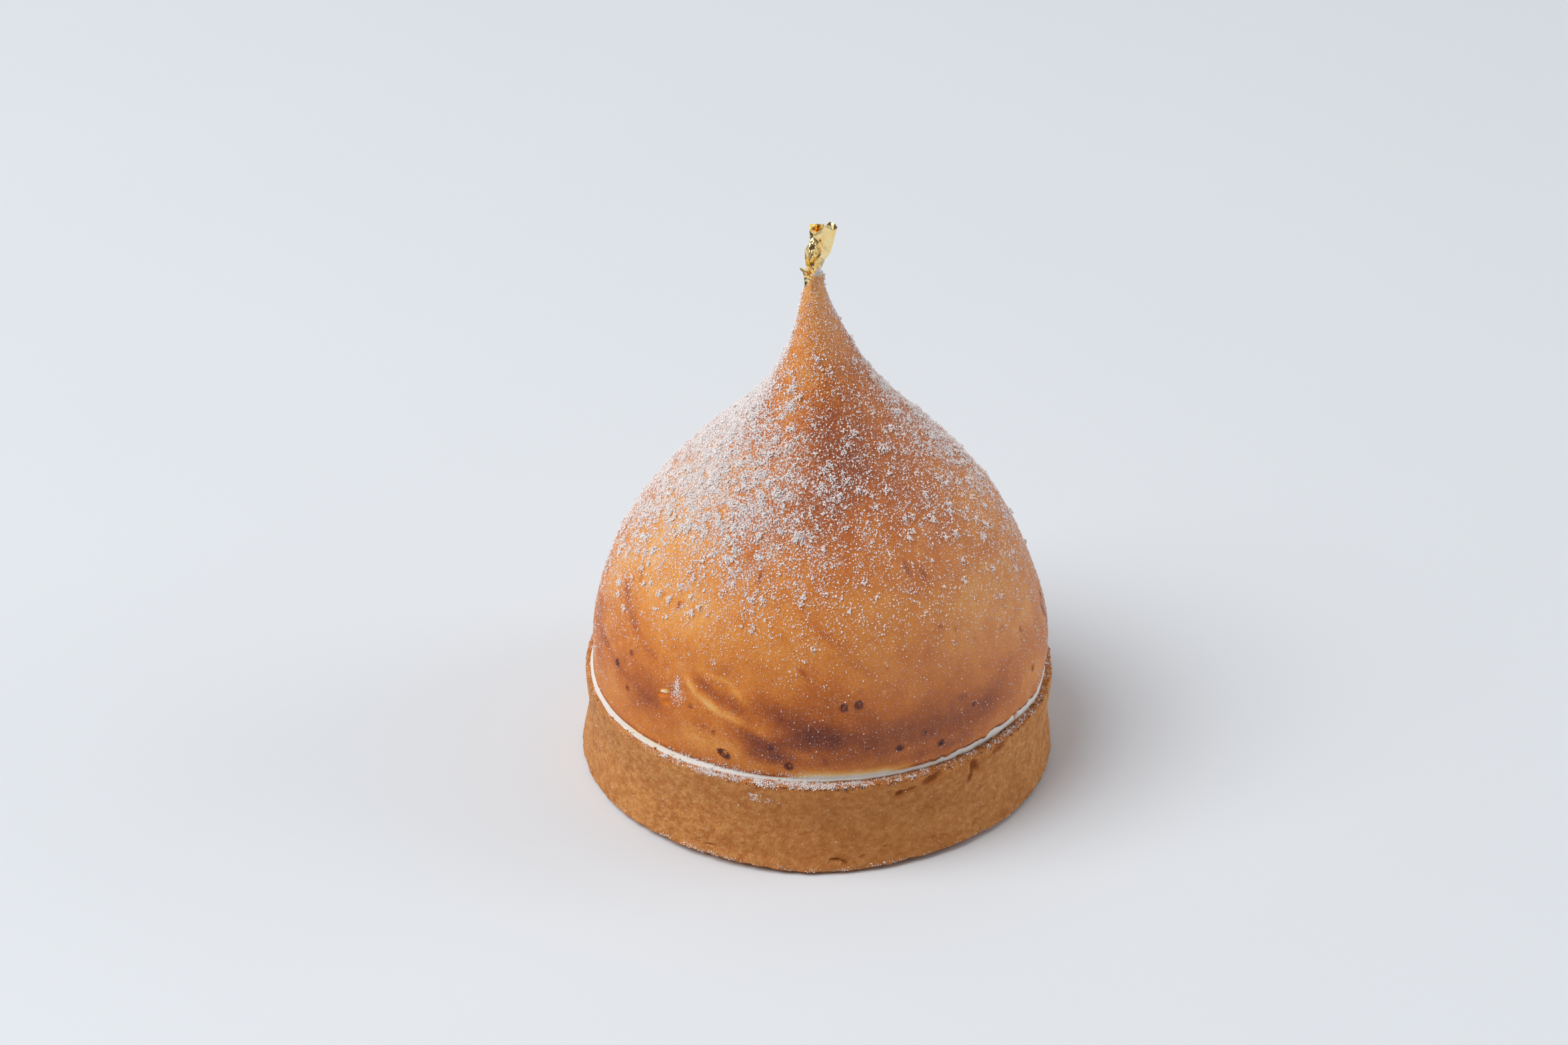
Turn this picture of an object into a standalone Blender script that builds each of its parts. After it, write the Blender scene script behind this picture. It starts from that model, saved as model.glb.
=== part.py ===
"""Lemon meringue tartlet: a round shortcrust case, an onion-shaped dome of torched meringue
that stands in it, and a crumpled piece of gold leaf on the tip of the dome.

Metres, +Z up. The foot of the case is centred on the origin at z = 0, and -Y is the front.
Angles round the tartlet run from the front (0) towards +X (90), seen from above.
"""

import math

import bmesh
import bpy
import numpy as np
from mathutils import Vector, noise

MM = 0.001
GAP = 0.3 * MM  # left between pieces that touch

# Shortcrust case, baked in a plain ring of 80 mm
CASE_HEIGHT = 16.6 * MM
RIM_RADIUS = 40.0 * MM
CASE_LEAN = 0.4 * MM  # the rim's centre lies this far to +X of the foot's
RIM_WIDTH = 2.1 * MM
RIM_ROUNDING = 0.5 * MM
RECESS_DEPTH = 2.5 * MM  # from the rim down to where the meringue stands
UNDERCUT_DEPTH = 0.8 * MM  # the foot's edge curls in under the wall
WALL_ROWS = 7
CASE_STEPS = 120
WALL_UNEVENNESS = 0.14 * MM
LIP_RAGGEDNESS = 0.28 * MM

# Outline of the case's wall, which shrank in at its waist: height and radius, in mm
WALL_OUTLINE = ((0.7, 40.45), (2.8, 40.2), (5.8, 39.7), (8.7, 39.35), (12.5, 39.65), (16.1, 40.0))

# Meringue dome
DOME_STEPS = 96
ROW_SPACING = 2.7 * MM  # along the dome's outline
BAND_HEIGHT = 1.75 * MM  # white foam that shows between the rim and the browned skin
BAND_INSET = 0.35 * MM  # how far the foam sits back from the edge of the skin
SKIN_EDGE_HEIGHT = 0.35 * MM
TIP_HEIGHT = 89.5 * MM  # top of the browned cone
NIB_HEIGHT = 3.3 * MM  # un-browned foam that stands on the cone
NIB_RADIUS = 0.85 * MM
DOME_UNEVENNESS = 0.22 * MM

# Outline of the browned skin, height above the foot and radius, in mm
SKIN_OUTLINE = (
    (18.7, 38.35),
    (21.0, 38.70),
    (26.6, 38.25),
    (33.2, 36.25),
    (41.0, 32.95),
    (49.9, 27.15),
    (58.7, 19.25),
    (67.6, 10.75),
    (76.5, 5.40),
    (85.4, 2.20),
    (89.5, 1.25),
)

# How far the dome's middle lies to +X of the foot's, at each height, in mm
DOME_LEAN = (
    (14.0, 0.40),
    (24.0, 0.55),
    (36.0, 0.30),
    (50.0, 0.75),
    (58.0, 0.95),
    (65.0, 1.20),
    (72.0, 0.75),
    (79.0, 0.15),
    (89.5, -0.50),
    (93.0, -0.60),
)

# Wrinkles and dents of the browned skin: angle, height above the foot, length, width,
# height of the relief, and how steeply its length falls to the right (mm and degrees)
SKIN_RELIEF = (
    (-24.0, 29.6, 13.0, 3.0, 0.42, 24.0),  # long fold at the front left
    (-22.5, 33.0, 9.0, 4.0, -0.38, 30.0),  # hollow above the fold
    (-18.0, 33.8, 9.0, 3.0, 0.25, 32.0),  # second, fainter fold
    (-39.0, 28.0, 3.6, 3.2, -0.35, 0.0),  # torn spot
    (-2.0, 36.0, 12.0, 5.0, -0.22, 55.0),
    (30.5, 49.3, 6.0, 2.6, -0.28, 75.0),  # scratch on the right shoulder
    (36.0, 24.5, 16.0, 4.0, -0.20, -4.0),
    (-68.0, 27.0, 6.0, 3.4, -0.25, 60.0),
    (112.0, 30.0, 12.0, 4.0, 0.30, 20.0),
    (165.0, 27.0, 10.0, 3.5, -0.30, -18.0),
    (-128.0, 33.0, 11.0, 4.0, 0.28, 28.0),
)

# Chips and dents in the case: angle, height above the foot, width, height and depth, in mm.
# The first is no dent but the front of the foot, which spread a little.
CASE_CHIPS = (
    (-8.0, 0.7, 60.0, 5.0, -0.45),
    (28.0, 15.3, 4.6, 1.9, 0.50),
    (41.0, 13.9, 2.8, 3.4, 0.55),
    (19.8, 14.5, 2.2, 1.4, 0.30),
    (60.0, 16.6, 2.6, 1.2, 0.55),
    (4.8, 2.5, 3.4, 1.2, 0.25),
    (-25.7, 2.5, 3.0, 1.2, 0.20),
    (128.0, 15.4, 4.0, 2.0, 0.45),
    (-150.0, 15.0, 3.4, 2.4, 0.45),
    (-104.0, 2.8, 3.6, 1.4, 0.25),
)

# Gold leaf, crumpled round the nib
LEAF_THICKNESS = 0.18 * MM
LEAF_COLUMNS = 12
LEAF_SPLITS = 2  # rows of the mesh for each row of the edges below
LEAF_FOLD = 0.38 * MM  # how far the creases stand to either side of the sheet
LEAF_CREASES = 3.4  # creases across the sheet
LEAF_SLANT = 0.55  # creases that each step up the sheet moves over by
LEAF_SEED = 7

# Its two edges, in steps from the tail up: distance to +X of the foot's centre and height
# of the left edge, then of the right one, in mm
LEAF_EDGES = (
    (-2.33, 87.8, -1.80, 88.0),
    (-2.40, 89.0, -1.38, 89.0),
    (-3.28, 91.2, -1.25, 89.9),  # a pointed corner sticks out on the left
    (-2.40, 91.5, -0.55, 90.8),
    (-2.30, 92.3, 0.40, 91.2),
    (-2.32, 93.4, 0.85, 92.5),
    (-2.22, 94.1, 1.62, 93.7),
    (-1.76, 95.3, 2.00, 95.0),
    (-1.54, 96.6, 2.30, 96.6),
    (-1.54, 97.6, 2.60, 97.8),
    (-1.46, 99.0, 2.98, 98.8),
    (-1.00, 99.2, 2.30, 99.6),
)

# Depth of the sheet towards +Y at each height: in front of the nib, then leaning back, in mm
LEAF_DEPTH = ((87.8, -2.3), (89.5, -2.15), (91.5, -1.75), (93.2, -1.6), (96.0, -0.8), (99.6, 0.3))

# Colours of the finishes, linear
CRUST_COLOUR = (0.48, 0.235, 0.085, 1.0)
SKIN_COLOUR = (0.58, 0.275, 0.085, 1.0)
GOLD_COLOUR = (0.80, 0.55, 0.20, 1.0)


def spline(knots, at):
    """Natural cubic spline through (position, value) pairs, read at one or more positions."""
    x, y = np.array(knots, float).T
    h = np.diff(x)
    n = len(x)
    a = np.eye(n)
    b = np.zeros(n)
    for i in range(1, n - 1):
        a[i, i - 1 : i + 2] = h[i - 1], 2 * (h[i - 1] + h[i]), h[i]
        b[i] = 6 * ((y[i + 1] - y[i]) / h[i] - (y[i] - y[i - 1]) / h[i - 1])
    m = np.linalg.solve(a, b)
    at = np.clip(at, x[0], x[-1])
    i = np.clip(np.searchsorted(x, at) - 1, 0, n - 2)
    t, s = at - x[i], x[i + 1] - at
    curved = (m[i] * s**3 + m[i + 1] * t**3) / (6 * h[i])
    return curved + (y[i] / h[i] - m[i] * h[i] / 6) * s + (y[i + 1] / h[i] - m[i + 1] * h[i] / 6) * t


def bump(across, along, width, length):
    """1 at the middle of an oval patch, falling smoothly to 0 at its edge."""
    reach = math.hypot(across / (width / 2), along / (length / 2))
    return 0.0 if reach >= 1 else 0.5 + 0.5 * math.cos(math.pi * reach)


def turned(outline, steps):
    """A closed solid: an outline of (radius, height), axis to axis, spun round Z."""
    bm = bmesh.new()
    verts = [bm.verts.new((0.0, -r, z)) for r, z in outline]
    edges = [bm.edges.new(pair) for pair in zip(verts, verts[1:])]
    bmesh.ops.spin(
        bm, geom=verts + edges, axis=(0, 0, 1), cent=(0, 0, 0),
        angle=math.tau, steps=steps, use_merge=True,
    )
    bmesh.ops.remove_doubles(bm, verts=bm.verts, dist=0.00001)
    bmesh.ops.recalc_face_normals(bm, faces=bm.faces)
    return bm


def finish(name, bm, colour, roughness, metallic):
    """Turn a mesh into a named object with its own finish."""
    mesh = bpy.data.meshes.new(name)
    bm.to_mesh(mesh)
    bm.free()
    mesh.shade_smooth()
    material = bpy.data.materials.new(name)
    material.use_nodes = True
    shader = material.node_tree.nodes["Principled BSDF"]
    shader.inputs["Base Color"].default_value = colour
    shader.inputs["Roughness"].default_value = roughness
    shader.inputs["Metallic"].default_value = metallic
    mesh.materials.append(material)
    piece = bpy.data.objects.new(name, mesh)
    bpy.context.scene.collection.objects.link(piece)
    return piece


def case_outline():
    """Radius and height, from the middle of the underside round to the middle of the recess."""
    recess_radius = RIM_RADIUS - RIM_WIDTH
    heights = np.linspace(WALL_OUTLINE[0][0], WALL_OUTLINE[-1][0], WALL_ROWS + 1)
    points = [(0.0, 0.0), (WALL_OUTLINE[0][1] * MM - UNDERCUT_DEPTH, 0.0)]
    points += zip(spline(WALL_OUTLINE, heights) * MM, heights * MM)
    points.append((RIM_RADIUS - 0.3 * RIM_ROUNDING, CASE_HEIGHT - 0.3 * RIM_ROUNDING))
    points.append((RIM_RADIUS - RIM_ROUNDING, CASE_HEIGHT))
    points.append((recess_radius + 0.5 * RIM_ROUNDING, CASE_HEIGHT))
    points.append((recess_radius, CASE_HEIGHT - 0.5 * RIM_ROUNDING))
    points.append((recess_radius, CASE_HEIGHT - RECESS_DEPTH))
    points.append((0.0, CASE_HEIGHT - RECESS_DEPTH))
    return points


def make_case():
    """Shortcrust case: a turned wall, uneven as pressed dough is, chipped, with a ragged foot."""
    bm = turned(case_outline(), CASE_STEPS)
    recess_radius = RIM_RADIUS - RIM_WIDTH
    for v in bm.verts:
        radius = math.hypot(v.co.x, v.co.y)
        if radius > recess_radius + 0.1 * MM and v.co.z > 0:
            angle = math.atan2(v.co.x, -v.co.y)
            height = v.co.z
            outward = Vector((v.co.x, v.co.y, 0.0)).normalized()
            change = WALL_UNEVENNESS * noise.noise(v.co / (9.0 * MM))
            if height < WALL_OUTLINE[0][0] * MM + 0.1 * MM:
                change += LIP_RAGGEDNESS * noise.noise(v.co / (3.0 * MM) + Vector((7.0, 0.0, 0.0)))
            for degrees, middle, width, tall, depth in CASE_CHIPS:
                turn = (angle - math.radians(degrees) + math.pi) % math.tau - math.pi
                across = turn * radius
                change -= depth * MM * bump(across, height - middle * MM, width * MM, tall * MM)
            v.co += outward * change
            if height > CASE_HEIGHT - RIM_ROUNDING:
                v.co.z += 0.5 * WALL_UNEVENNESS * (noise.noise(v.co / (5.0 * MM)) - 0.4)
        v.co.x += CASE_LEAN * v.co.z / CASE_HEIGHT
    return finish("crust", bm, CRUST_COLOUR, roughness=0.65, metallic=0.0)


def dome_outline():
    """Radius and height, from the middle of the dome's underside up to the top of its nib."""
    inner = RIM_RADIUS - RIM_WIDTH - GAP
    skin_edge = SKIN_OUTLINE[0][0] * MM
    foam_radius = SKIN_OUTLINE[0][1] * MM - BAND_INSET
    foot = CASE_HEIGHT - RECESS_DEPTH + GAP
    points = [(0.0, foot), (inner, foot), (inner, CASE_HEIGHT)]
    points.append((0.5 * (inner + foam_radius), CASE_HEIGHT + 0.5 * BAND_HEIGHT))
    points.append((foam_radius, skin_edge - SKIN_EDGE_HEIGHT))
    points.append((SKIN_OUTLINE[0][1] * MM, skin_edge))
    fine = np.linspace(SKIN_OUTLINE[0][0], SKIN_OUTLINE[-1][0], 400)
    radii = spline(SKIN_OUTLINE, fine)
    run = np.concatenate([[0.0], np.cumsum(np.hypot(np.diff(fine), np.diff(radii)))]) * MM
    rows = round(run[-1] / ROW_SPACING)
    for along in np.linspace(0.0, run[-1], rows + 1)[1:]:
        points.append((np.interp(along, run, radii) * MM, np.interp(along, run, fine) * MM))
    points.append((NIB_RADIUS, TIP_HEIGHT + 0.2 * MM))
    points.append((NIB_RADIUS, TIP_HEIGHT + 0.6 * NIB_HEIGHT))
    points.append((0.6 * NIB_RADIUS, TIP_HEIGHT + 0.93 * NIB_HEIGHT))
    points.append((0.0, TIP_HEIGHT + NIB_HEIGHT))
    return points


def make_dome():
    """Meringue: a piped onion dome with wrinkled browned skin, bent a little on its axis."""
    bm = turned(dome_outline(), DOME_STEPS)
    skin_edge = SKIN_OUTLINE[0][0] * MM
    for v in bm.verts:
        radius = math.hypot(v.co.x, v.co.y)
        height = v.co.z
        if skin_edge - 0.1 * MM < height < TIP_HEIGHT and radius > 0:
            angle = math.atan2(v.co.x, -v.co.y)
            outward = Vector((v.co.x, v.co.y, 0.0)).normalized()
            fade = min(1.0, radius / (20.0 * MM)) * min(1.0, (height - skin_edge) / (4.0 * MM) + 0.3)
            change = DOME_UNEVENNESS * fade * noise.noise(v.co / (14.0 * MM))
            for degrees, middle, length, width, relief, fall in SKIN_RELIEF:
                turn = (angle - math.radians(degrees) + math.pi) % math.tau - math.pi
                right, up = turn * radius, height - middle * MM
                tilt = math.radians(fall)
                along = right * math.cos(tilt) - up * math.sin(tilt)
                across = right * math.sin(tilt) + up * math.cos(tilt)
                change += relief * MM * bump(across, along, width * MM, length * MM)
            v.co += outward * change
        v.co.x += float(spline(DOME_LEAN, height / MM)) * MM
    return finish("meringue", bm, SKIN_COLOUR, roughness=0.55, metallic=0.0)


def make_leaf():
    """Gold leaf: one crumpled sheet, thickened straight back so that both faces match."""
    edges = np.array(LEAF_EDGES)
    steps = np.linspace(0, len(edges) - 1, (len(edges) - 1) * LEAF_SPLITS + 1)
    left_x, left_z, right_x, right_z = (np.interp(steps, range(len(edges)), e) for e in edges.T)
    draw = np.random.default_rng(LEAF_SEED)
    wander = np.cumsum(draw.uniform(-0.5, 0.5, len(steps)))
    bm = bmesh.new()
    grid = []
    for i in range(len(steps)):
        line = []
        for j in range(LEAF_COLUMNS + 1):
            across = j / LEAF_COLUMNS
            x = (left_x[i] + (right_x[i] - left_x[i]) * across) * MM
            z = (left_z[i] + (right_z[i] - left_z[i]) * across) * MM
            turn = LEAF_CREASES * across + LEAF_SLANT * steps[i] + wander[i] + 0.3 * draw.random()
            crease = (0.7 + 0.3 * draw.random()) * (4 * abs(turn / 2 % 1 - 0.5) - 1)
            y = float(spline(LEAF_DEPTH, z / MM)) * MM + LEAF_FOLD * crease
            line.append(bm.verts.new((x, y, z)))
        grid.append(line)
    for low, high in zip(grid, grid[1:]):
        for j in range(LEAF_COLUMNS):
            bm.faces.new((low[j], low[j + 1], high[j + 1], high[j]))
    bmesh.ops.triangulate(bm, faces=bm.faces, quad_method="SHORT_EDGE")
    thick = bmesh.ops.extrude_face_region(bm, geom=bm.faces[:], use_keep_orig=True)
    back = [v for v in thick["geom"] if isinstance(v, bmesh.types.BMVert)]
    bmesh.ops.translate(bm, verts=back, vec=(0.0, LEAF_THICKNESS, 0.0))
    bmesh.ops.recalc_face_normals(bm, faces=bm.faces)
    return finish("gold_leaf", bm, GOLD_COLOUR, roughness=0.2, metallic=1.0)


for old in list(bpy.data.objects):
    bpy.data.objects.remove(old, do_unlink=True)

make_case()
make_dome()
make_leaf()
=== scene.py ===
"""Looks of a single-portion lemon meringue tartlet: a baked shortcrust case, a torched onion dome of
meringue, icing sugar and a crumpled piece of gold leaf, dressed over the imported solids.

Metres, +Z up, with -Y at the front. Lists of places are in mm and degrees: an angle is 0 at the
front and grows towards +X, and a height is above the foot.
"""

import math

import bmesh
import bpy
import numpy as np
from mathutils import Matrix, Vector, noise


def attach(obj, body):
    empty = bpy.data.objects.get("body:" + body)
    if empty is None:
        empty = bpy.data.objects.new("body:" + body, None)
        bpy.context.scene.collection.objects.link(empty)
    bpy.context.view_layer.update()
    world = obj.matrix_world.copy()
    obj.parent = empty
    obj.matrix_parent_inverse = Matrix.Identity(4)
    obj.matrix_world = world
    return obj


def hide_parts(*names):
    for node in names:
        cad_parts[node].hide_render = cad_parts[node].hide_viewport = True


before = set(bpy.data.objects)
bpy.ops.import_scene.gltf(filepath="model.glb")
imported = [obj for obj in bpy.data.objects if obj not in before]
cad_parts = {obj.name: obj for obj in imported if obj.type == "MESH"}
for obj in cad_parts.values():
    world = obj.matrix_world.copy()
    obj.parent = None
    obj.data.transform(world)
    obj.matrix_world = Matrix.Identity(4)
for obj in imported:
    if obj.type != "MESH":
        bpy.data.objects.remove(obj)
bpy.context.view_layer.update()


# ------------------------------------------------------------------------- shortcrust case
# A round case of shortcrust, pressed into a plain 80 mm ring and baked until its rim browned.
# It drew in at its waist, spread a little at the front of its foot, and small flakes and
# chips came off it when it left the ring.

MM = 0.001
CASE_HEIGHT = 16.6
CASE_LEAN = 0.4  # the rim's middle lies this far to +X of the foot's
CASE_STEPS = 720
RIM_RADIUS = 40.0
RIM_WIDTH = 2.1
RIM_ROUNDING = 0.5
RIM_INSIDE = RIM_RADIUS - RIM_WIDTH
RECESS_FLOOR = 14.1
UNDERSIDE_RADII = (20.0, 36.0, 38.6, 39.0)
FOOT_LIP = ((39.15, 0.16), (39.40, 0.28), (39.90, 0.36), (40.25, 0.44), (40.40, 0.56))
WALL_FOOT = 0.7
WALL_OUTLINE = ((0.7, 40.45), (2.8, 40.2), (5.8, 39.7), (8.7, 39.35), (12.5, 39.65), (16.1, 40.0))
WALL_ROWS = 66

# Unevenness in layers: relief, size of its lumps, and which part of the noise it takes
WALL_GRAIN = ((0.14, 9, 0), (0.055, 2.6, 11), (0.022, 0.9, 23))
FOOT_GRAIN = ((0.28, 3, 7), (0.22, 1.1, 31))
RIM_GRAIN = ((0.10, 1, 41),)

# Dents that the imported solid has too: angle, height, length, width and depth
CASE_DENTS = (
    (-8, 0.7, 60, 5, -0.45),
    (60, 16.6, 2.6, 1.2, 0.55),
    (4.8, 2.5, 3.4, 1.2, 0.25),
    (-25.7, 2.5, 3, 1.2, 0.20),
    (128, 15.4, 4, 2, 0.45),
    (-150, 15, 3.4, 2.4, 0.45),
    (-104, 2.8, 3.6, 1.4, 0.25),
)

# Chips with a sharp upper edge: angle, height, length, width, depth and how far they slant
CASE_CHIPS = (
    (27.8, 15.4, 4.6, 1.5, 0.75, -16), (40.2, 14.8, 2.7, 1.9, 1.0, 50),
    (39.1, 13.3, 3.6, 0.9, 0.6, -80), (48.6, 15.5, 4.2, 1.3, 0.55, -8),
    (19.4, 14.2, 1.8, 1.1, 0.65, -14), (22.2, 14.6, 3.2, 0.5, 0.25, -8),
    (35.8, 12.6, 0.9, 0.5, 0.25, -10), (4.4, 2.6, 2.4, 0.6, 0.4, 8), (6.6, 2.1, 1.5, 0.5, 0.4, 38),
    (-25.7, 2.6, 1.9, 0.45, 0.3, 4), (-29, 3.2, 0.8, 0.3, 0.2, 10), (10.6, 2.9, 1, 0.35, 0.22, -16),
    (16.4, 4.2, 0.8, 0.5, 0.22, 0), (28.4, 3.9, 2, 0.35, 0.18, 4), (31.8, 3.6, 1.4, 0.3, 0.2, 12),
    (-14, 6.8, 0.7, 0.4, 0.15, 0), (127, 15.2, 3.2, 1.4, 0.45, -24), (-151, 14.8, 2.6, 1.6, 0.4, 30),
    (96, 3.1, 2.6, 0.5, 0.3, 6), (-88, 4.4, 1.6, 0.4, 0.22, -8), (171, 2.4, 3, 0.5, 0.3, 5),
)
PIT_COUNT = 150
PIT_SIZE = (0.35, 0.8)
PIT_LENGTH = (1.0, 1.8)  # times its size
PIT_SLANT = (-30, 30)
POWDER_SMEAR = (-14, 13.6, 7.4, 3, 10)  # sugar rubbed on the wall: angle, height, length, width, slant

# How brown the rim is on each side, with painted shade that makes it darker at the front and right and
# lighter at the left, towards the lamp: angle and share
RIM_BROWNING_AND_SHADE = (
    (-180, 0.5), (-75, 0.35), (-40, 0.25), (-25, 0.4), (-10, 0.55), (20, 0.55), (40, 0.5), (60, 0.6),
    (180, 0.5),
)

# How high the ragged foot stands off the table on each side
FOOT_GAP = (
    (-180, 0.1), (-60, 0.1), (-42, 0.55), (-28, 0.75), (-12, 0.45), (-4, 0.15), (8, 0.15), (18, 0.5),
    (40, 0.5), (55, 0.1), (180, 0.1),
)

# How far the rim's outer corner is worn back on each side
RIM_WEAR = (
    (-180, 0.3), (-60, 0.1), (-28, 0), (0, 0.4), (20, 0.6), (40, 0.9), (55, 1), (72, 0.7), (180, 0.3),
)
WEAR_FROM = 14.6


def spline(knots, at):
    """Natural cubic spline through (position, value) pairs, read at one or more positions."""
    x, y = np.array(knots, float).T
    h = np.diff(x)
    n = len(x)
    a = np.eye(n)
    b = np.zeros(n)
    for i in range(1, n - 1):
        a[i, i - 1 : i + 2] = h[i - 1], 2 * (h[i - 1] + h[i]), h[i]
        b[i] = 6 * ((y[i + 1] - y[i]) / h[i] - (y[i] - y[i - 1]) / h[i - 1])
    m = np.linalg.solve(a, b)
    at = np.clip(at, x[0], x[-1])
    i = np.clip(np.searchsorted(x, at) - 1, 0, n - 2)
    t, s = at - x[i], x[i + 1] - at
    curved = (m[i] * s**3 + m[i + 1] * t**3) / (6 * h[i])
    return curved + (y[i] / h[i] - m[i] * h[i] / 6) * s + (y[i + 1] / h[i] - m[i + 1] * h[i] / 6) * t


def lumps(points, size, shift=0):
    """Smooth noise from about -1 to 1 at each point, with lumps of the given size."""
    return np.array([noise.noise(p) for p in (points / size + shift).tolist()])


def uneven(points, layers):
    """Relief in mm at each point, from layers of noise."""
    return sum(relief * lumps(points, size, shift) for relief, size, shift in layers)


def read(table, at, **beyond):
    """Values at one or more positions, from a table of (position, value)."""
    return np.interp(at, *np.array(table).T, **beyond)


def side_of(angle):
    """Angles in degrees, from -180 to 180."""
    return np.degrees((angle + math.pi) % math.tau - math.pi)


def reach(surface, degrees, middle, length, width, slant=0.0):
    """How far each point lies from the middle of an oval patch: 0 there and 1 at its edge."""
    angle, radius, height = surface
    right = ((angle - math.radians(degrees) + math.pi) % math.tau - math.pi) * radius
    up = height - middle
    tilt = math.radians(slant)
    along = right * math.cos(tilt) - up * math.sin(tilt)
    across = right * math.sin(tilt) + up * math.cos(tilt)
    return np.hypot(along / (length / 2), across / (width / 2))


def swell(far):
    """A soft mound: 1 at the middle of a patch, falling smoothly to 0 at its edge."""
    return 0.5 + 0.5 * np.cos(math.pi * np.clip(far, 0, 1))


def dish(far):
    """A hollow with a crisp edge: 1 at the middle of a patch, dropping to 0 at its edge."""
    return np.clip(1 - far**2, 0, 1) ** 0.8


def turned(rows):
    """Angle, radius and height of each point of rows (radius, height, steps) turned round Z."""
    steps = [row[2] for row in rows]
    angle = np.concatenate([np.arange(n) * math.tau / n for n in steps])
    radius = np.repeat([float(row[0]) for row in rows], steps)
    height = np.repeat([float(row[1]) for row in rows], steps)
    return angle, radius, height, steps


def round_z(angle, radius, height, lean):
    """Points in mm at the angles, radii and heights, with the axis moved towards +X by lean."""
    return np.stack([radius * np.sin(angle) + lean, -radius * np.cos(angle), height], axis=1)


def woven(name, points, steps):
    """Mesh of triangles between rows of points in mm. A row has as many points as the one before
    it, half as many, or is the single point that closes an end."""
    triangles = []
    low = 0
    for n, m in zip(steps, steps[1:]):
        high = low + n
        i = np.arange(max(n, m))
        j = (i + 1) % len(i)
        if n == 1:
            triangles.append((low + 0 * i, high + j, high + i))
        elif m == 1:
            triangles.append((low + i, low + j, high + 0 * i))
        elif n == m:
            triangles.append((low + i, low + j, high + j))
            triangles.append((low + i, high + j, high + i))
        else:
            i, j = i[::2], j[::2]
            k = np.arange(m)
            after = (k + 1) % m
            triangles.append((low + i, low + j, high + k))
            triangles.append((low + j, high + after, high + k))
            triangles.append((low + j, low + (i + 2) % n, high + after))
        low = high
    faces = np.concatenate([np.stack(corners, axis=1) for corners in triangles])
    piece = laid_out(name, points, faces)
    piece.data.shade_smooth()
    return piece


def laid_out(name, points, faces):
    """An object with the given points in mm and faces."""
    mesh = bpy.data.meshes.new(name)
    mesh.from_pydata((points * MM).tolist(), [], faces.tolist())
    piece = bpy.data.objects.new(name, mesh)
    bpy.context.scene.collection.objects.link(piece)
    return piece


def paint(piece, name, values):
    """Keep a value for each point of a piece, for its material to read."""
    layer = piece.data.attributes.new(name, "FLOAT", "POINT")
    layer.data.foreach_set("value", np.clip(values, 0, 1).astype(np.float32))


def case_rows():
    """Rows of the case, from the middle of its underside round to the middle of its recess."""
    rows = [(0.0, 0.0, 1)]
    rows += [(r, 0.0, CASE_STEPS) for r in UNDERSIDE_RADII]
    rows += [(r, z, CASE_STEPS) for r, z in FOOT_LIP]
    rim_edge = CASE_HEIGHT - RIM_ROUNDING
    heights = np.linspace(WALL_FOOT, rim_edge, WALL_ROWS + 1)
    rows += [(r, z, CASE_STEPS) for r, z in zip(spline(WALL_OUTLINE, heights), heights)]
    for turn in np.radians([18, 36, 54, 72, 90]):
        out, up = RIM_ROUNDING * math.cos(turn), RIM_ROUNDING * math.sin(turn)
        rows.append((RIM_RADIUS - RIM_ROUNDING + out, rim_edge + up, CASE_STEPS))
    for r in np.linspace(RIM_RADIUS - RIM_ROUNDING, RIM_INSIDE + 0.25, 9)[1:]:
        rows.append((r, CASE_HEIGHT, CASE_STEPS))
    rows.append((RIM_INSIDE + 0.07, CASE_HEIGHT - 0.07, CASE_STEPS))
    rows += [(RIM_INSIDE, z, CASE_STEPS) for z in (CASE_HEIGHT - 0.25, 15.8, 15.0, RECESS_FLOOR)]
    rows += [(r, RECESS_FLOOR, CASE_STEPS) for r in (30.0, 15.0)]
    rows.append((0.0, RECESS_FLOOR, 1))
    return rows


angle, radius, height, steps = turned(case_rows())
surface = (angle, radius, height)
plain = round_z(angle, radius, height, 0.0)

# How much each point of the outside belongs to the foot and to the rim
outer = (radius > RIM_INSIDE + 0.1) & (height > 0)
foot = np.clip((1.2 - height) / 0.7, 0, 1) * (height > 0.45) * outer
rim = np.clip((height - 15.9) / 0.6, 0, 1) * outer
round_case = side_of(angle)

# Relief of the wall, the gaps under the ragged foot, and the chips and pits, whose hollows are painted
# darker as painted shade
wall_change = uneven(plain, WALL_GRAIN) + foot * uneven(plain, FOOT_GRAIN)
wall_change += rim * uneven(plain, RIM_GRAIN)
for *place, depth in CASE_DENTS:
    wall_change -= depth * swell(reach(surface, *place))
gap = read(FOOT_GAP, round_case) * (1 + 0.6 * lumps(plain * [1, 1, 0], 1.8, 9))
lifted = (height > 0) & outer
height = height + np.where(lifted, gap * np.clip((3.4 - height) / 2.8, 0, 1), 0.0)
# Painted shade: the hollows of the chips and pits are painted darker
case_pit_shade = np.zeros(len(angle))
for degrees, middle, length, width, depth, slant in CASE_CHIPS:
    far = reach(surface, degrees, middle, length, width, slant)
    wall_change -= depth * dish(far)
    case_pit_shade = np.maximum(case_pit_shade, np.clip(1.5 * dish(far), 0, 1))
draw = np.random.default_rng(3)
for _ in range(PIT_COUNT):
    size = draw.uniform(*PIT_SIZE)
    place = draw.uniform(-180, 180), 1.0 + 15.0 * draw.random() ** 1.6
    far = reach(surface, *place, size * draw.uniform(*PIT_LENGTH), size, draw.uniform(*PIT_SLANT))
    wall_change -= 0.2 * size * dish(far)
    case_pit_shade = np.maximum(case_pit_shade, 0.55 * dish(far))

radius = radius + np.where(outer, wall_change, 0.0)

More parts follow.
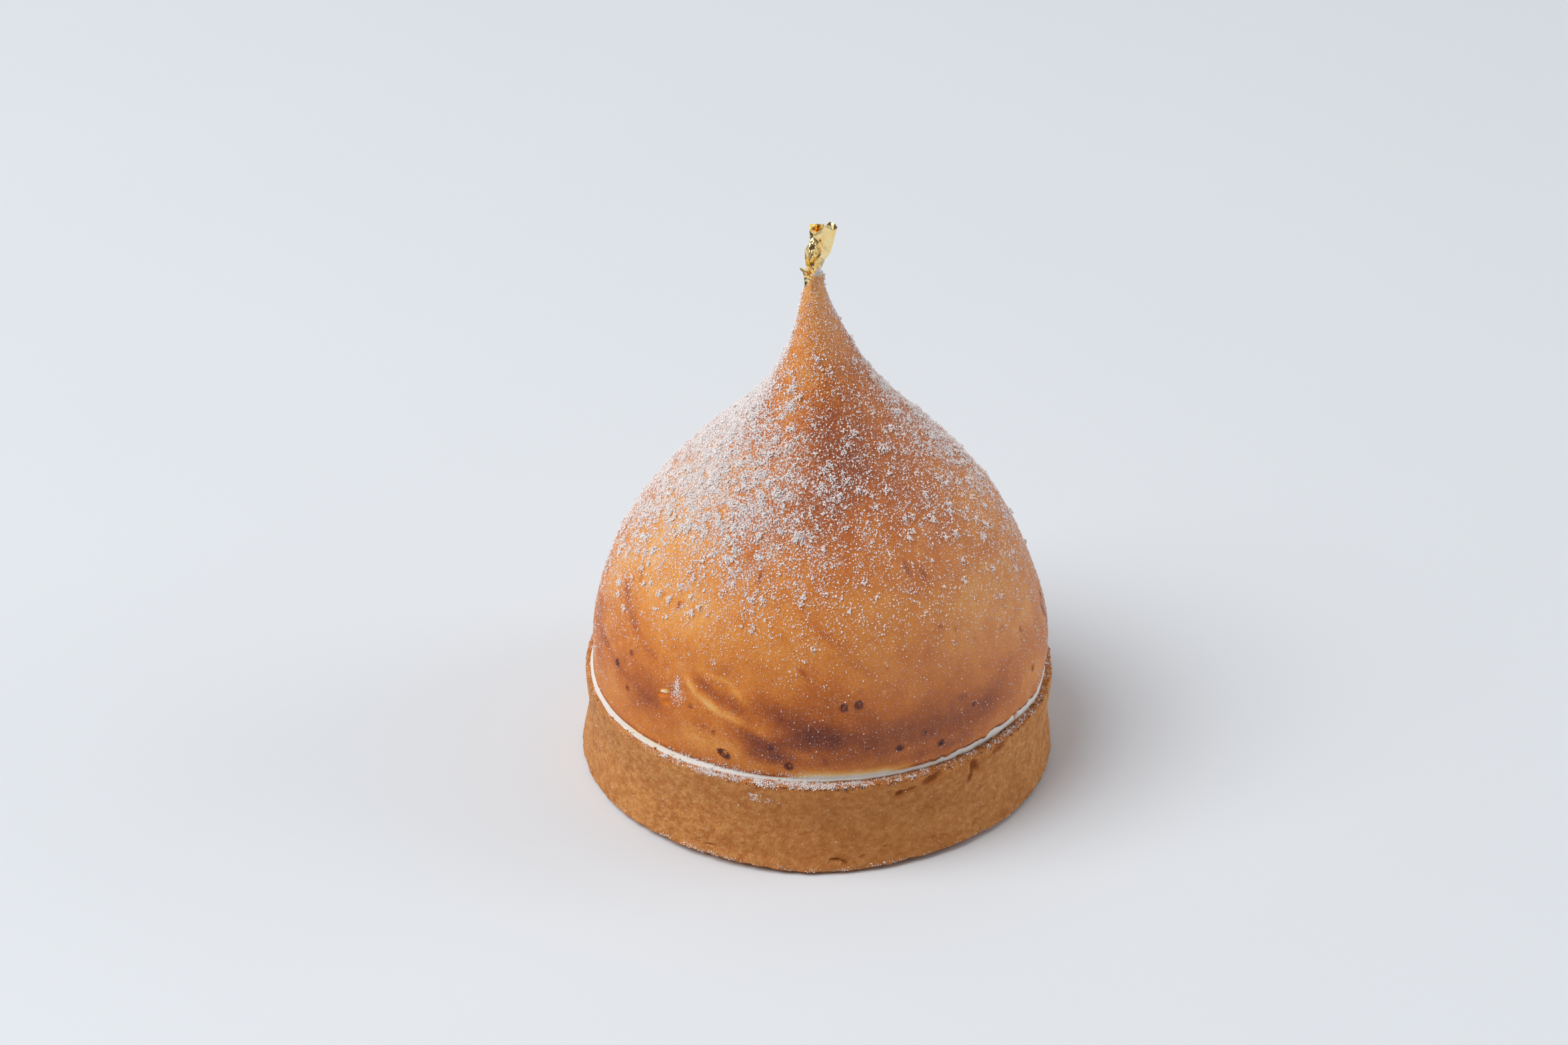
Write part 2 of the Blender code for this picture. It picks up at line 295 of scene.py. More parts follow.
# The rim's corner is worn back and its top is uneven
worn = np.clip((height - WEAR_FROM) / (CASE_HEIGHT - WEAR_FROM), 0, 1) ** 1.5
worn *= read(RIM_WEAR, round_case) / RIM_WIDTH
radius = np.where(outer, RIM_INSIDE + (radius - RIM_INSIDE) * (1 - worn), radius)
top = np.where(height > CASE_HEIGHT - RIM_ROUNDING, outer, 0)
height = height + top * (0.07 * (lumps(plain, 5) - 0.4) + 0.09 * lumps(plain, 1.3, 53))
case_points = round_z(angle, radius, height, CASE_LEAN * height / CASE_HEIGHT)
case = woven("shortcrust_case", case_points, steps)
case_surface = (angle, radius, height)
paint(case, "pit_shade", case_pit_shade)

# The rim and its corner browned most. Painted shadow darkens the underside's edge under the ragged
# foot, and painted shade darkens the front of the wall a little
on_rim = 0.7 * rim * (1 + 0.5 * lumps(plain, 3, 61))
corner = swell(abs(height - 16.25) / 0.5) * (radius > 39.2) * (1 + lumps(plain, 1.2, 63))
# Painted shadow: the underside's edge, under the lip of the foot, is painted dark
undercut_shade = (height < 1.3) * np.clip((39.5 - radius) / 0.3, 0, 1)
# Painted shade: the front of the wall is painted a little darker
front_shade = 0.3 * swell(abs(round_case - 8) / 55) * outer * (1 - rim)
paint(case, "browned_and_shaded", read(RIM_BROWNING_AND_SHADE, round_case) * (on_rim + 0.6 * corner) + front_shade + undercut_shade)
smear = swell(reach(surface, *POWDER_SMEAR))
paint(case, "dusted", 0.3 * rim + 1.2 * smear * (1 + lumps(plain, 1.4, 77)))


def feed(tree, node, inputs):
    """Give inputs of a node plain values or the outputs of other nodes."""
    for name, given in inputs.items():
        if isinstance(given, bpy.types.NodeSocket):
            tree.links.new(given, node.inputs[name])
        else:
            node.inputs[name].default_value = given


def add(tree, kind, inputs, **settings):
    """A shader node with the given inputs and settings."""
    node = tree.nodes.new("ShaderNode" + kind)
    for name, setting in settings.items():
        setattr(node, name, setting)
    feed(tree, node, inputs)
    return node


def value(tree, operation, *numbers):
    """The result of a sum done by a Math node."""
    return add(tree, "Math", dict(enumerate(numbers)), operation=operation).outputs[0]


def blended(tree, mask, low, high):
    """A colour that goes from one to another as a mask goes from 0 to 1."""
    return add(tree, "Mix", {0: mask, 6: low, 7: high}, data_type="RGBA").outputs[2]


def covered(tree, tone, colour, mask, share=1.0):
    """A tone with a colour over it where a mask is 1, up to a share."""
    return blended(tree, value(tree, "MULTIPLY", mask, share), tone, colour)


def stepped(tree, mask, low, high):
    """0 where a mask is under low, 1 where it is over high, and smooth between them."""
    inputs = {0: mask, 1: low, 2: high}
    return add(tree, "MapRange", inputs, interpolation_type="SMOOTHSTEP").outputs[0]


def ranged(tree, mask, low, high):
    """A value that goes from low to high as a mask goes from 0 to 1."""
    return add(tree, "MapRange", {0: mask, 3: low, 4: high}).outputs[0]


def bumps(tree, height, metres, strength=1.0):
    """Normals of a fine relief."""
    inputs = {"Height": height, "Distance": metres, "Strength": strength}
    return add(tree, "Bump", inputs).outputs[0]


def painted(tree, name):
    """A value kept for each point of the mesh."""
    return add(tree, "Attribute", {}, attribute_name=name).outputs["Fac"]


def effect(name, inputs, output):
    """An empty shader group with float inputs (name: default) and one float output."""
    tree = bpy.data.node_groups.new(name, "ShaderNodeTree")
    for label, default in inputs.items():
        socket = tree.interface.new_socket(label, in_out="INPUT", socket_type="NodeSocketFloat")
        socket.default_value = default
    tree.interface.new_socket(output, in_out="OUTPUT", socket_type="NodeSocketFloat")
    given = tree.nodes.new("NodeGroupInput").outputs
    return tree, given, tree.nodes.new("NodeGroupOutput").inputs[0]


def use(tree, group, **inputs):
    """A shader group placed in a material with its own values."""
    return add(tree, "Group", inputs, node_tree=group).outputs[0]


def material(name):
    """A new material, its node tree and its main shader."""
    made = bpy.data.materials.new(name)
    made.use_nodes = True
    return made, made.node_tree, made.node_tree.nodes["Principled BSDF"]


# Soft patches of lighter and darker tone, their size in mm, spread over 0 to 1
mottle_inputs = {"Size": 1.0, "Spread": 0.2, "Seed": 0.0, "Flatness": 1.0}
mottle, given, result = effect("mottle", mottle_inputs, "Tone")
stretch = add(mottle, "CombineXYZ", {0: 1.0, 1: 1.0, 2: given["Flatness"]}).outputs[0]
object_place = add(mottle, "TexCoord", {}).outputs["Object"]
where = add(mottle, "VectorMath", {0: object_place, 1: stretch}, operation="MULTIPLY").outputs[0]
per_metre = value(mottle, "DIVIDE", 1000.0, given["Size"])
inputs = {"Vector": where, "W": given["Seed"], "Scale": per_metre, "Detail": 3.0}
cloud = add(mottle, "TexNoise", inputs, noise_dimensions="4D").outputs[0]
low_end = value(mottle, "SUBTRACT", 0.5, given["Spread"])
high_end = value(mottle, "ADD", 0.5, given["Spread"])
tone = add(mottle, "MapRange", {0: cloud, 1: low_end, 2: high_end}).outputs[0]
mottle.links.new(tone, result)

# Small round flecks: their spacing and size in mm, and the share of places that have one
flecks, given, result = effect("flecks", {"Spacing": 2.0, "Size": 0.4, "Share": 0.5}, "Mask")
where = add(flecks, "TexCoord", {}).outputs["Object"]
per_metre = value(flecks, "DIVIDE", 1000.0, given["Spacing"])
cells = add(flecks, "TexVoronoi", {"Vector": where, "Scale": per_metre})
lot = add(flecks, "SeparateColor", {0: cells.outputs["Color"]}).outputs[0]
kept = value(flecks, "LESS_THAN", lot, given["Share"])
half_size = value(flecks, "DIVIDE", value(flecks, "DIVIDE", given["Size"], given["Spacing"]), 2.0)
inside = value(flecks, "DIVIDE", cells.outputs["Distance"], half_size)
soft = value(flecks, "SUBTRACT", 1.0, stepped(flecks, inside, 0.6, 1.2))
flecks.links.new(value(flecks, "MULTIPLY", soft, kept), result)

# A film of sugar too fine to be grains: where it lies, for how much of it there is
sugar_film, given, result = effect("sugar_film", {"Amount": 0.5}, "Mask")
fine = use(sugar_film, mottle, Size=0.40, Spread=0.24, Seed=4.0)
broad = use(sugar_film, mottle, Size=1.5, Spread=0.24, Seed=9.0)
both = value(sugar_film, "MULTIPLY_ADD", fine, 0.66, value(sugar_film, "MULTIPLY", broad, 0.34))
level = value(sugar_film, "SUBTRACT", 1.0, given["Amount"])
over = value(sugar_film, "SUBTRACT", both, level)
sugar_film.links.new(stepped(sugar_film, over, -0.03, 0.09), result)

CRUST_TAN = (0.62, 0.245, 0.064, 1)
CRUST_PALE = (0.78, 0.385, 0.128, 1)
CRUST_BROWN = (0.40, 0.128, 0.028, 1)
# The rim's colour and the scorched colour are also laid on as painted shade and shadow at the front of
# the wall and under the foot
CRUST_RIM_AND_SHADE = (0.47, 0.150, 0.032, 1)
# The next colour is painted shade, laid in the hollows of the chips and pits
CRUST_PIT_SHADE = (0.36, 0.100, 0.018, 1)
CRUST_SCORCHED_AND_SHADE = (0.14, 0.035, 0.010, 1)
BURNT = (0.030, 0.013, 0.009, 1)
SUGAR = (0.90, 0.81, 0.785, 1)

baked_crust, tree, shader = material("baked_shortcrust")
clouds = use(tree, mottle, Size=6.0, Spread=0.24, Seed=1.0)
patches = use(tree, mottle, Size=1.2, Spread=0.12, Seed=2.0, Flatness=1.25)
grain = use(tree, mottle, Size=0.45, Spread=0.16, Seed=3.0)
vanilla = use(tree, flecks, Spacing=4.2, Size=0.30, Share=0.5)
dusted = value(tree, "MULTIPLY_ADD", painted(tree, "dusted"), 0.48, 0.12)
browned_and_shaded = painted(tree, "browned_and_shaded")
tone = blended(tree, clouds, CRUST_BROWN, CRUST_TAN)
tone = covered(tree, tone, CRUST_PALE, patches, 0.72)
tone = covered(tree, tone, CRUST_BROWN, grain, 0.48)
# Besides browning, this lays on painted shade and shadow: under the foot, at the front of the wall, and
# on the rim away from the lamp
tone = covered(tree, tone, CRUST_RIM_AND_SHADE, browned_and_shaded)
tone = covered(tree, tone, CRUST_SCORCHED_AND_SHADE, stepped(tree, browned_and_shaded, 0.72, 1.0))
# Painted shade in the hollows of the chips and pits
tone = covered(tree, tone, CRUST_PIT_SHADE, painted(tree, "pit_shade"), 0.85)
tone = covered(tree, tone, BURNT, vanilla, 0.8)
tone = covered(tree, tone, SUGAR, use(tree, sugar_film, Amount=dusted), 0.55)
crumb = value(tree, "MULTIPLY_ADD", patches, 0.6, grain)
feed(tree, shader, {
    "Base Color": tone,
    "Roughness": ranged(tree, grain, 0.55, 0.8),
    "Normal": bumps(tree, crumb, 0.00009),
    "Specular IOR Level": 0.2,
    "Subsurface Weight": 0.12,
    "Subsurface Radius": (1.0, 0.45, 0.2),
    "Subsurface Scale": 0.0012,
})
case.data.materials.append(baked_crust)
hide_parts("crust")
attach(case, "root")


# --------------------------------------------------------------------------- meringue dome
# Italian meringue, moulded as an onion dome with a drawn-out tip, stood in the case and torched
# until its skin browned. The white foam shows under the edge of the skin and at the very tip,
# and bubbles, creases and a torn spot mark the skin.

SKIN_EDGE = 17.85
FOAM_TOP = 17.6
FOAM_FOOT = 16.5
FOAM_BASE = 14.4
FOAM_BASE_RADIUS = 37.7
SKIN_EDGE_RADIUS = 38.15
TIP_HEIGHT = 90.0
NIB_HEIGHT = 2.6
NIB_RADIUS = 0.70
DOME_STEPS = 640

# How far apart its rows of points are, at each length along the skin from its edge
DOME_ROWS = (
    (0, 0.2), (2.4, 0.2), (2.5, 0.31), (17, 0.31), (20, 0.68), (60, 0.68), (66, 0.32), (99, 0.32),
)
DOME_HALVINGS = (19.0, 8.0, 3.2, 1.4)  # radii under which a row has half as many points

# The skin's radius at each height
SKIN_OUTLINE = (
    (18.7, 38.35), (21.0, 38.70), (26.6, 38.25), (33.2, 36.25), (41.0, 32.95), (49.9, 27.15),
    (58.7, 19.25), (67.6, 10.75), (76.5, 5.40), (85.4, 2.20), (87.4, 1.65), (90.0, 1.10),
)

# Where the skin ends on each side: angle, height and radius
SKIN_EDGE_PATH = (
    (-180, 17.9, 38.15), (-110, 17.6, 38.5), (-75, 17.3, 38.95), (-60, 17.2, 38.95), (-45, 17.25, 38.8),
    (-36, 17.3, 38.5), (-28, 17.3, 38.25), (-12, 17.2, 38.1), (-5, 17.35, 38.05), (5, 17.45, 38.0),
    (20, 17.5, 38.0), (30, 17.65, 38.1), (35, 17.9, 38.1), (45.5, 18.0, 38.1), (47.5, 18.4, 38.1),
    (59, 18.4, 38.15), (63, 18.1, 38.3), (70, 17.9, 38.45), (110, 17.9, 38.3), (180, 17.9, 38.15),
)

# Where the foam meets the rim: angle and radius. On the left it was squeezed out over the rim
FOAM_FOOT_PATH = (
    (-180, 38.0), (-110, 38.8), (-75, 39.4), (-60, 39.6), (-50, 39.5), (-40, 39.35), (-30, 39.0),
    (-20, 38.5), (-10, 38.3), (0, 38.1), (10, 37.95), (30, 37.9), (45, 37.7), (55, 37.75),
    (70, 38.5), (110, 38.1), (180, 38.0),
)

# Where the foam tucks in under the skin's edge: radius and height
TUCK_ROWS = ((37.98, 17.65), (38.08, 17.72))

# On each side: how jagged the skin's edge is, how far the foam lies back from it, and where its
# brown fades to cream
JAGGED = ((-180, 1), (-20, 0.7), (22, 0.4), (34, 2.4), (70, 2.4), (110, 1), (180, 1))
FOAM_INSET = ((-180, 0.2), (-12, 0.2), (-4, 0.04), (18, 0.04), (26, 0.2), (180, 0.2))
FADED = ((-180, 0), (-9, 0), (-3, 1), (16, 1), (24, 0), (180, 0))
FOAM_NOTCH = (59, 17.6, 1.4, 2.6)  # angle, height, length and width

# How far the dome's middle lies to +X of the foot's, at each height
DOME_LEAN = (
    (14, 0.40), (24, 0.55), (36, 0.30), (50, 0.75), (58, 0.95), (65, 1.20), (72, 0.75), (79, 0.15),
    (90, -0.48), (92.6, 0.15),
)

# Unevenness in layers, as on the case
SKIN_GRAIN = ((0.05, 3.2, 5), (0.016, 1, 15))
FOAM_GRAIN = ((0.06, 1.1, 29), (0.03, 0.5, 49))
EDGE_GRAIN = ((0.05, 6, 3), (0.10, 1.5, 13))
BROWN_GRAIN = ((0.05, 9, 61), (0.05, 3.4, 67), (0.03, 1.1, 71))

# Creases and hollows: angle, height, length, width, relief, and how steeply they fall to the right
SKIN_RELIEF = (
    (-24, 29.6, 13, 3, 0.42, 24), (-22.5, 33, 9, 4, -0.38, 30), (-18, 33.8, 9, 3, 0.25, 32),
    (-39, 28, 3.6, 3.2, -0.35, 0), (-2, 36, 12, 5, -0.22, 55), (30.5, 49.3, 6, 2.6, -0.28, 75),
    (36, 24.5, 16, 4, -0.2, -4), (-68, 27, 6, 3.4, -0.25, 60), (112, 30, 12, 4, 0.3, 20),
    (165, 27, 10, 3.5, -0.3, -18), (-128, 33, 11, 4, 0.28, 28),
    # finer ones that only the skin shows
    (-33.5, 30.4, 6.5, 1.7, 0.24, 38), (-28, 28.7, 7, 1.8, 0.26, 24), (-22.5, 27.3, 7.5, 2, 0.16, 14),
    (-12, 24.8, 9, 2.2, 0.14, 20), (-29.5, 31, 7, 2.2, -0.3, 26), (-24, 30, 6, 2.4, -0.26, 16),
    (-27, 32.6, 6, 1.2, 0.16, 8), (-21, 31, 6, 1.2, 0.16, 36), (-20.5, 48.2, 2.2, 0.7, -0.3, 85),
    (-64, 41.4, 4.6, 1.3, -0.3, 52), (-62.2, 40.4, 5, 1.1, 0.2, 52), (-68, 38, 3.8, 1.2, -0.22, 42),
    (29.5, 48.8, 3.8, 1, -0.25, 75), (34.5, 47.6, 2.4, 1, -0.2, 60), (-4.3, 34.7, 2.4, 0.8, -0.18, 55),
    (118, 28.4, 7, 1.3, 0.2, 18), (-132, 31, 6, 1.3, 0.18, 30),
)

# Burst bubbles: angle, height, width and depth
BUBBLES = (
    (-7.4, 20, 1.3, 0.35), (-61, 27, 1.1, 0.2), (-55.8, 30.4, 0.9, 0.22), (-55.2, 24.2, 0.9, 0.22),
    (-33.5, 27, 0.8, 0.2), (-29.4, 24.3, 0.6, 0.15), (-26.7, 23.8, 0.7, 0.18), (6.1, 30.3, 1.15, 0.32),
    (9.9, 30.6, 1.2, 0.35), (19.4, 22.3, 1.1, 0.35), (30.6, 21.3, 1.1, 0.35), (11.5, 23.1, 0.5, 0.15),
    (26, 24.1, 0.7, 0.15), (40.8, 26, 0.8, 0.2), (65, 32, 0.8, 0.2), (-44.1, 41.3, 0.9, 0.25),
    (66, 24.6, 1, 0.25), (88, 30, 1.1, 0.3), (104, 22, 1.2, 0.3), (139, 26, 1.4, 0.35),
    (158, 34, 0.9, 0.25), (-97, 24, 1.1, 0.3), (-118, 29, 1.3, 0.35), (-149, 21.5, 1.2, 0.3),
    (-171, 38, 1, 0.25),
)

# Per cent of the skin that sugar hides: each side's angle, with its values at these heights
SUGAR_HEIGHTS = (18, 30, 36, 42, 48, 54, 60, 66, 72, 78, 84, 90)
BACK_COVER = (1, 2, 6, 16, 32, 46, 52, 42, 28, 22, 28, 30)
SUGAR_COVER = (
    (-180, BACK_COVER),
    (-88, (4, 12, 20, 30, 47, 45, 75, 71, 54, 72, 66, 34)),
    (-62, (1, 3, 9, 18, 33, 70, 70, 55, 24, 14, 14, 22)),
    (-35, (1, 2, 8, 22, 33, 60, 54, 57, 24, 18, 15, 20)),
    (-12, (1, 2, 5, 14, 22, 31, 42, 24, 12, 14, 20, 26)),
    (6, (1, 2, 4, 11, 19, 26, 22, 13, 12, 11, 18, 24)),
    (30, (1, 1, 4, 10, 11, 11, 21, 17, 17, 11, 18, 16)),
    (50, (2, 2, 4, 10, 9, 20, 25, 24, 15, 13, 13, 10)),
    (62, (2, 4, 7, 12, 13, 20, 26, 20, 18, 15, 20, 22)),
    (82, (4, 10, 12, 16, 17, 28, 34, 39, 42, 12, 52, 46)),
    (180, BACK_COVER),
)

# How brown the skin is at each height, from 0, white, to 1, burnt
BROWNING = (
    (17.8, 0.55), (21, 0.55), (25, 0.58), (30, 0.57), (36, 0.53), (43, 0.50), (50, 0.55), (58, 0.65),
    (66, 0.66), (76, 0.56), (84, 0.465), (90, 0.40),
)

# Where the flame lingered or missed, and painted highlights and shade on the long fold: angle, height,
# length, width, strength and slant
TORCH_AND_SHADE_MARKS = (
    # the scorched band at the front and right
    (-3, 26.4, 18, 8.4, 0.12, 12), (1, 24.4, 22, 9.4, 0.18, 4), (2, 29.5, 36, 11, 0.08, 0),
    (0, 21, 30, 4, 0.08, 0), (-10, 24, 22, 6, 0.12, 10), (-14, 21, 12, 4.4, 0.08, 0),
    (15, 24.4, 28, 12, 0.16, 0), (31, 24.4, 28, 12.6, 0.13, -2), (46, 24.4, 24, 12, 0.13, -4),
    (24, 26, 60, 16, 0.06, 0), (38, 27.8, 3.4, 2.2, 0.13, 10), (28, 20, 36, 4.4, 0.14, -2),
    # brown below and beside the long fold
    (-14, 22.6, 15, 7, 0.24, 12), (-12, 29, 15, 8, 0.13, 10), (-4, 21, 20, 5, 0.08, 4),
    (-19, 24.8, 11, 3.6, 0.08, 12), (-12, 23.1, 2.8, 1.8, 0.12, 0), (1.5, 20.8, 3, 1.6, 0.08, 60),
    # the long fold: pale crests that are painted highlights, and a dark hollow that is browned where
    # sugar missed it and darkened further by painted shade
    (-34, 30.4, 6.5, 2.2, -0.22, 38), (-28.5, 28.4, 8.5, 2.6, -0.28, 24),
    (-23, 27.3, 8, 2.6, -0.17, 14), (-14.5, 25.4, 9, 2.4, -0.08, 20), (-4, 22.1, 9, 2.4, -0.1, 24),
    (-29.5, 31, 9, 3, 0.16, 26), (-24.5, 29.9, 7.5, 3.6, 0.14, 16), (-20.5, 28.9, 5, 3, 0.1, 30),
    (-27.5, 33, 8, 1.6, -0.12, 8), (-20.5, 31, 8, 1.6, -0.12, 36),
    # bands at the left
    (-72, 27.8, 13, 2.8, 0.14, 4), (-64, 26.9, 20, 2.6, 0.1, 6), (-60, 28.5, 9, 7, 0.05, 0),
    (-46, 24.9, 15, 3, 0.06, 10), (-66, 37.4, 11, 2.6, 0.12, 30), (-57, 34.6, 13, 3.2, 0.1, 22),
    (-47, 32.4, 11, 3.4, 0.08, 12), (-80, 29, 10, 9, 0.08, 0), (-48, 25, 22, 14, 0.14, 0),
    (-74, 24, 14, 10, 0.09, 0), (-29, 21.5, 18, 6, -0.13, 0), (66, 24, 16, 9, -0.12, 0),
    (66, 33, 24, 10, -0.07, 0),
    # golden and pale places
    (-40, 41, 40, 13, -0.1, 0), (-78, 39, 18, 20, -0.08, 0), (-62, 47, 36, 20, -0.1, 0),
    (-45, 70, 14, 22, -0.07, 0), (-29, 47, 14, 8, -0.05, 0), (60, 40, 32, 15, -0.09, 0),
    (76, 34, 16, 9, -0.06, 0),
    # streaks and flecks
    (2, 41, 14, 3, 0.1, 38), (10, 36.4, 9, 2.8, 0.07, 35), (4, 33, 18, 7, 0.06, 0),
    (-4, 35.6, 4.2, 1.4, 0.2, 48), (-20.5, 48.2, 2.6, 1, 0.34, 85), (29.5, 48.8, 4, 1.3, 0.26, 75),
    (34.5, 47.6, 2.8, 1.4, 0.2, 60), (35.6, 39.8, 1.7, 1.3, 0.22, 0), (40.4, 38.4, 1.9, 1.1, 0.18, 60),
    (18, 35.6, 1.1, 0.9, 0.15, 0), (57, 34.5, 1.9, 1.5, 0.15, 0), (85.5, 28, 6, 2.6, 0.34, 80),
    (87, 26.3, 2.2, 1.8, 0.55, 90), (46, 35.8, 1.4, 1, 0.12, 0), (-51, 41.6, 1.7, 1, 0.14, 0),
    (-64, 41.4, 4.8, 1.5, 0.24, 52), (-68, 38, 4, 1.4, 0.2, 42),
    # the darker middle of the upper dome
    (8, 70, 9, 10, 0.05, 0), (14, 63, 20, 14, 0.17, 0), (-2, 56, 20, 13, 0.12, 0),
    (30, 57, 20, 10, 0.05, 0), (30, 48, 12, 7, 0.05, 0), (-70, 56, 44, 22, -0.2, 0),
    (80, 54, 30, 20, -0.09, 0), (-6, 67, 10, 8, 0.05, 0),
    # the sides and back that the front view hides
    (84, 29, 4, 2, 0.3, -60), (112, 27, 30, 8, 0.16, 4), (150, 25, 34, 7, 0.2, 0),
    (-172, 30, 26, 9, 0.12, 12), (-140, 26, 30, 6, 0.18, -3), (-108, 33, 22, 12, 0.1, 10),
    (150, 44, 34, 14, -0.08, 0),
)


def dome_rows():
    """Rows of the meringue, from the middle of its underside up to the top of its nib."""
    rows = [(0.0, FOAM_BASE, 1), (FOAM_BASE_RADIUS, FOAM_BASE, DOME_STEPS)]
    rows += [(37.72, 15.4, DOME_STEPS), (37.75, 16.2, DOME_STEPS)]
    rows += [(RIM_INSIDE, z, DOME_STEPS) for z in np.linspace(FOAM_FOOT, FOAM_TOP, 11)]
    rows += [(r, z, DOME_STEPS) for r, z in TUCK_ROWS]
    for share in np.linspace(0, 0.84, 6):
        lift = SKIN_OUTLINE[0][0] - SKIN_EDGE
        widen = SKIN_OUTLINE[0][1] - SKIN_EDGE_RADIUS
        rows.append((SKIN_EDGE_RADIUS + widen * share, SKIN_EDGE + lift * share, DOME_STEPS))
    fine = np.linspace(SKIN_OUTLINE[0][0], SKIN_OUTLINE[-1][0], 800)
    radii = spline(SKIN_OUTLINE, fine)
    run = np.concatenate([[0.0], np.cumsum(np.hypot(np.diff(fine), np.diff(radii)))])
    place = 0.0
    while place < run[-1] - 0.2:
        r, z = np.interp(place, run, radii), np.interp(place, run, fine)
        halvings = sum(int(r < limit) for limit in DOME_HALVINGS)
        rows.append((r, z, DOME_STEPS >> halvings))
        place += read(DOME_ROWS, place)
    rows.append((radii[-1], fine[-1], rows[-1][2]))
    last = rows[-1][2]
    for share in np.linspace(0.04, 0.75, 10):
        rows.append((NIB_RADIUS * (1 - 0.12 * share), TIP_HEIGHT + share * NIB_HEIGHT, last))
    rows += [(0.62, TIP_HEIGHT + 0.88 * NIB_HEIGHT, last), (0.35, TIP_HEIGHT + 0.97 * NIB_HEIGHT, last)]
    rows.append((0.0, TIP_HEIGHT + NIB_HEIGHT, 1))
    return rows


angle, radius, height, steps = turned(dome_rows())
surface = (angle, radius, height)
plain = round_z(angle, radius, height, 0.0)
round_dome = side_of(angle)
is_skin = (height > SKIN_EDGE - 0.01) & (height < TIP_HEIGHT)
is_nib = height > TIP_HEIGHT
is_band = (height > FOAM_FOOT - 0.01) & (height < SKIN_EDGE - 0.01)

# Relief of the skin
fade = np.minimum(1, radius / 20) * np.minimum(1, np.clip(height - SKIN_EDGE, 0, 99) / 4 + 0.3)
change = is_skin * fade * 0.22 * lumps(plain, 14)
change += is_skin * np.minimum(1, radius / 6) * uneven(plain, SKIN_GRAIN)
change += is_skin * 0.07 * np.clip((height - 70) / 10, 0, 1) * lumps(plain * [1, 1, 0.6], 0.75, 25)
for *place, relief, slant in SKIN_RELIEF:
    change += is_skin * relief * swell(reach(surface, *place, slant))
burnt_ring = np.zeros(len(angle))
bubble_floor = np.zeros(len(angle))
for degrees, middle, width, depth in BUBBLES:
    far = reach(surface, degrees, middle, width, width)
    change += is_skin * depth * (0.22 * swell(abs(far - 1.15) / 0.7) - dish(far))
    burnt_ring = np.maximum(burnt_ring, min(1.0, width - 0.2) * swell(abs(far - 0.8) / 0.7))
    bubble_floor = np.maximum(bubble_floor, swell(far / 0.6) * (width > 1.1))

# The slit at the front, burst open with a burnt edge, and the torn spot on the left, where a flake
# curls up: angle, height, length, width and slant
SLIT = (-23.9, 20.35, 1.9, 1.05, 24)
TEARS = ((-42.4, 26.95, 2, 0.95, -16), (-41.2, 25.75, 1.5, 0.85, 20))
FLAKE = (-42, 27.6, 2.2, 0.95, -20)
slit_far = reach(surface, *SLIT)
change += is_skin * (0.14 * swell(abs(slit_far - 1.25) / 0.8) - 0.55 * dish(slit_far))
torn = np.zeros(len(angle))
for tear in TEARS:
    far = reach(surface, *tear)
    change -= is_skin * 0.4 * dish(far)
    torn = np.maximum(torn, np.clip(1.8 * dish(far), 0, 1))
flake = swell(reach(surface, *FLAKE))
change += is_skin * 0.35 * flake

# The edge of the skin is uneven and breaks off in jags on the right
around = plain * [1, 1, 0]
sides, edge_heights, edge_radii = np.array(SKIN_EDGE_PATH).T
jagged = read(JAGGED, round_dome)
edge_z = np.interp(round_dome, sides, edge_heights)
edge_z += jagged * uneven(around, EDGE_GRAIN)
steps_up = 0.15 * np.round(4.5 * lumps(around, 2, 17)) + 0.1 * lumps(around, 0.9, 27)
edge_z += np.clip(jagged - 1, 0, 1) * steps_up
edge_r = np.interp(round_dome, sides, edge_radii)
near_edge = np.clip((21.5 - height) / (21.5 - SKIN_EDGE), 0, 1)
height = np.where(is_skin, height + near_edge * (edge_z - SKIN_EDGE), height)
change += is_skin * near_edge**1.5 * (edge_r - SKIN_EDGE_RADIUS)

# The foam swells out between the rim and the skin, with a notch on the right
foot_r = read(FOAM_FOOT_PATH, round_dome) + 0.12 * lumps(around, 2.6, 19)
inset = read(FOAM_INSET, round_dome)
up_band = np.clip((plain[:, 2] - FOAM_FOOT) / (FOAM_TOP - FOAM_FOOT), 0, 1)
tuck_heights = [FOAM_TOP] + [z for _, z in TUCK_ROWS]
tucked = inset * np.interp(plain[:, 2], tuck_heights, [1, 0.8, 0.35])
band_r = foot_r + (edge_r - tucked - foot_r) * up_band**1.5 + 0.14 * np.sin(math.pi * up_band)
band_r += uneven(plain, FOAM_GRAIN) * up_band * (up_band < 1)
notch = swell(reach(surface, *FOAM_NOTCH))
change = np.where(is_band, band_r - radius - 0.7 * notch, change)
band_top = edge_z - np.interp(plain[:, 2], tuck_heights, [0.25, 0.2, 0.13])
height = np.where(is_band, FOAM_FOOT + (band_top - FOAM_FOOT) * up_band, height)
change += is_nib * 0.12 * lumps(plain, 0.9, 37)

lean = spline(DOME_LEAN, height)
dome_points = round_z(angle, radius + change, height, lean)
dome = woven("meringue_dome", dome_points, steps)
dome_surface = (angle, radius, height)

# Browning, with painted highlights and shade on the long fold: with the height and in clouds, then
# marks, bubbles, the slit and the flake
brown_and_shade = read(BROWNING, plain[:, 2])
brown_and_shade += uneven(plain, BROWN_GRAIN)
for *place, strength, slant in TORCH_AND_SHADE_MARKS:
    brown_and_shade += strength * swell(reach(surface, *place, slant))
brown_and_shade += 0.42 * burnt_ring - 0.16 * bubble_floor
brown_and_shade = brown_and_shade + 0.7 * swell(abs(slit_far - 0.95) / 0.65)
brown_and_shade = brown_and_shade * (1 - 0.85 * swell(slit_far / 0.7))
brown_and_shade = brown_and_shade * (1 - np.clip(2.4 * flake, 0, 1))

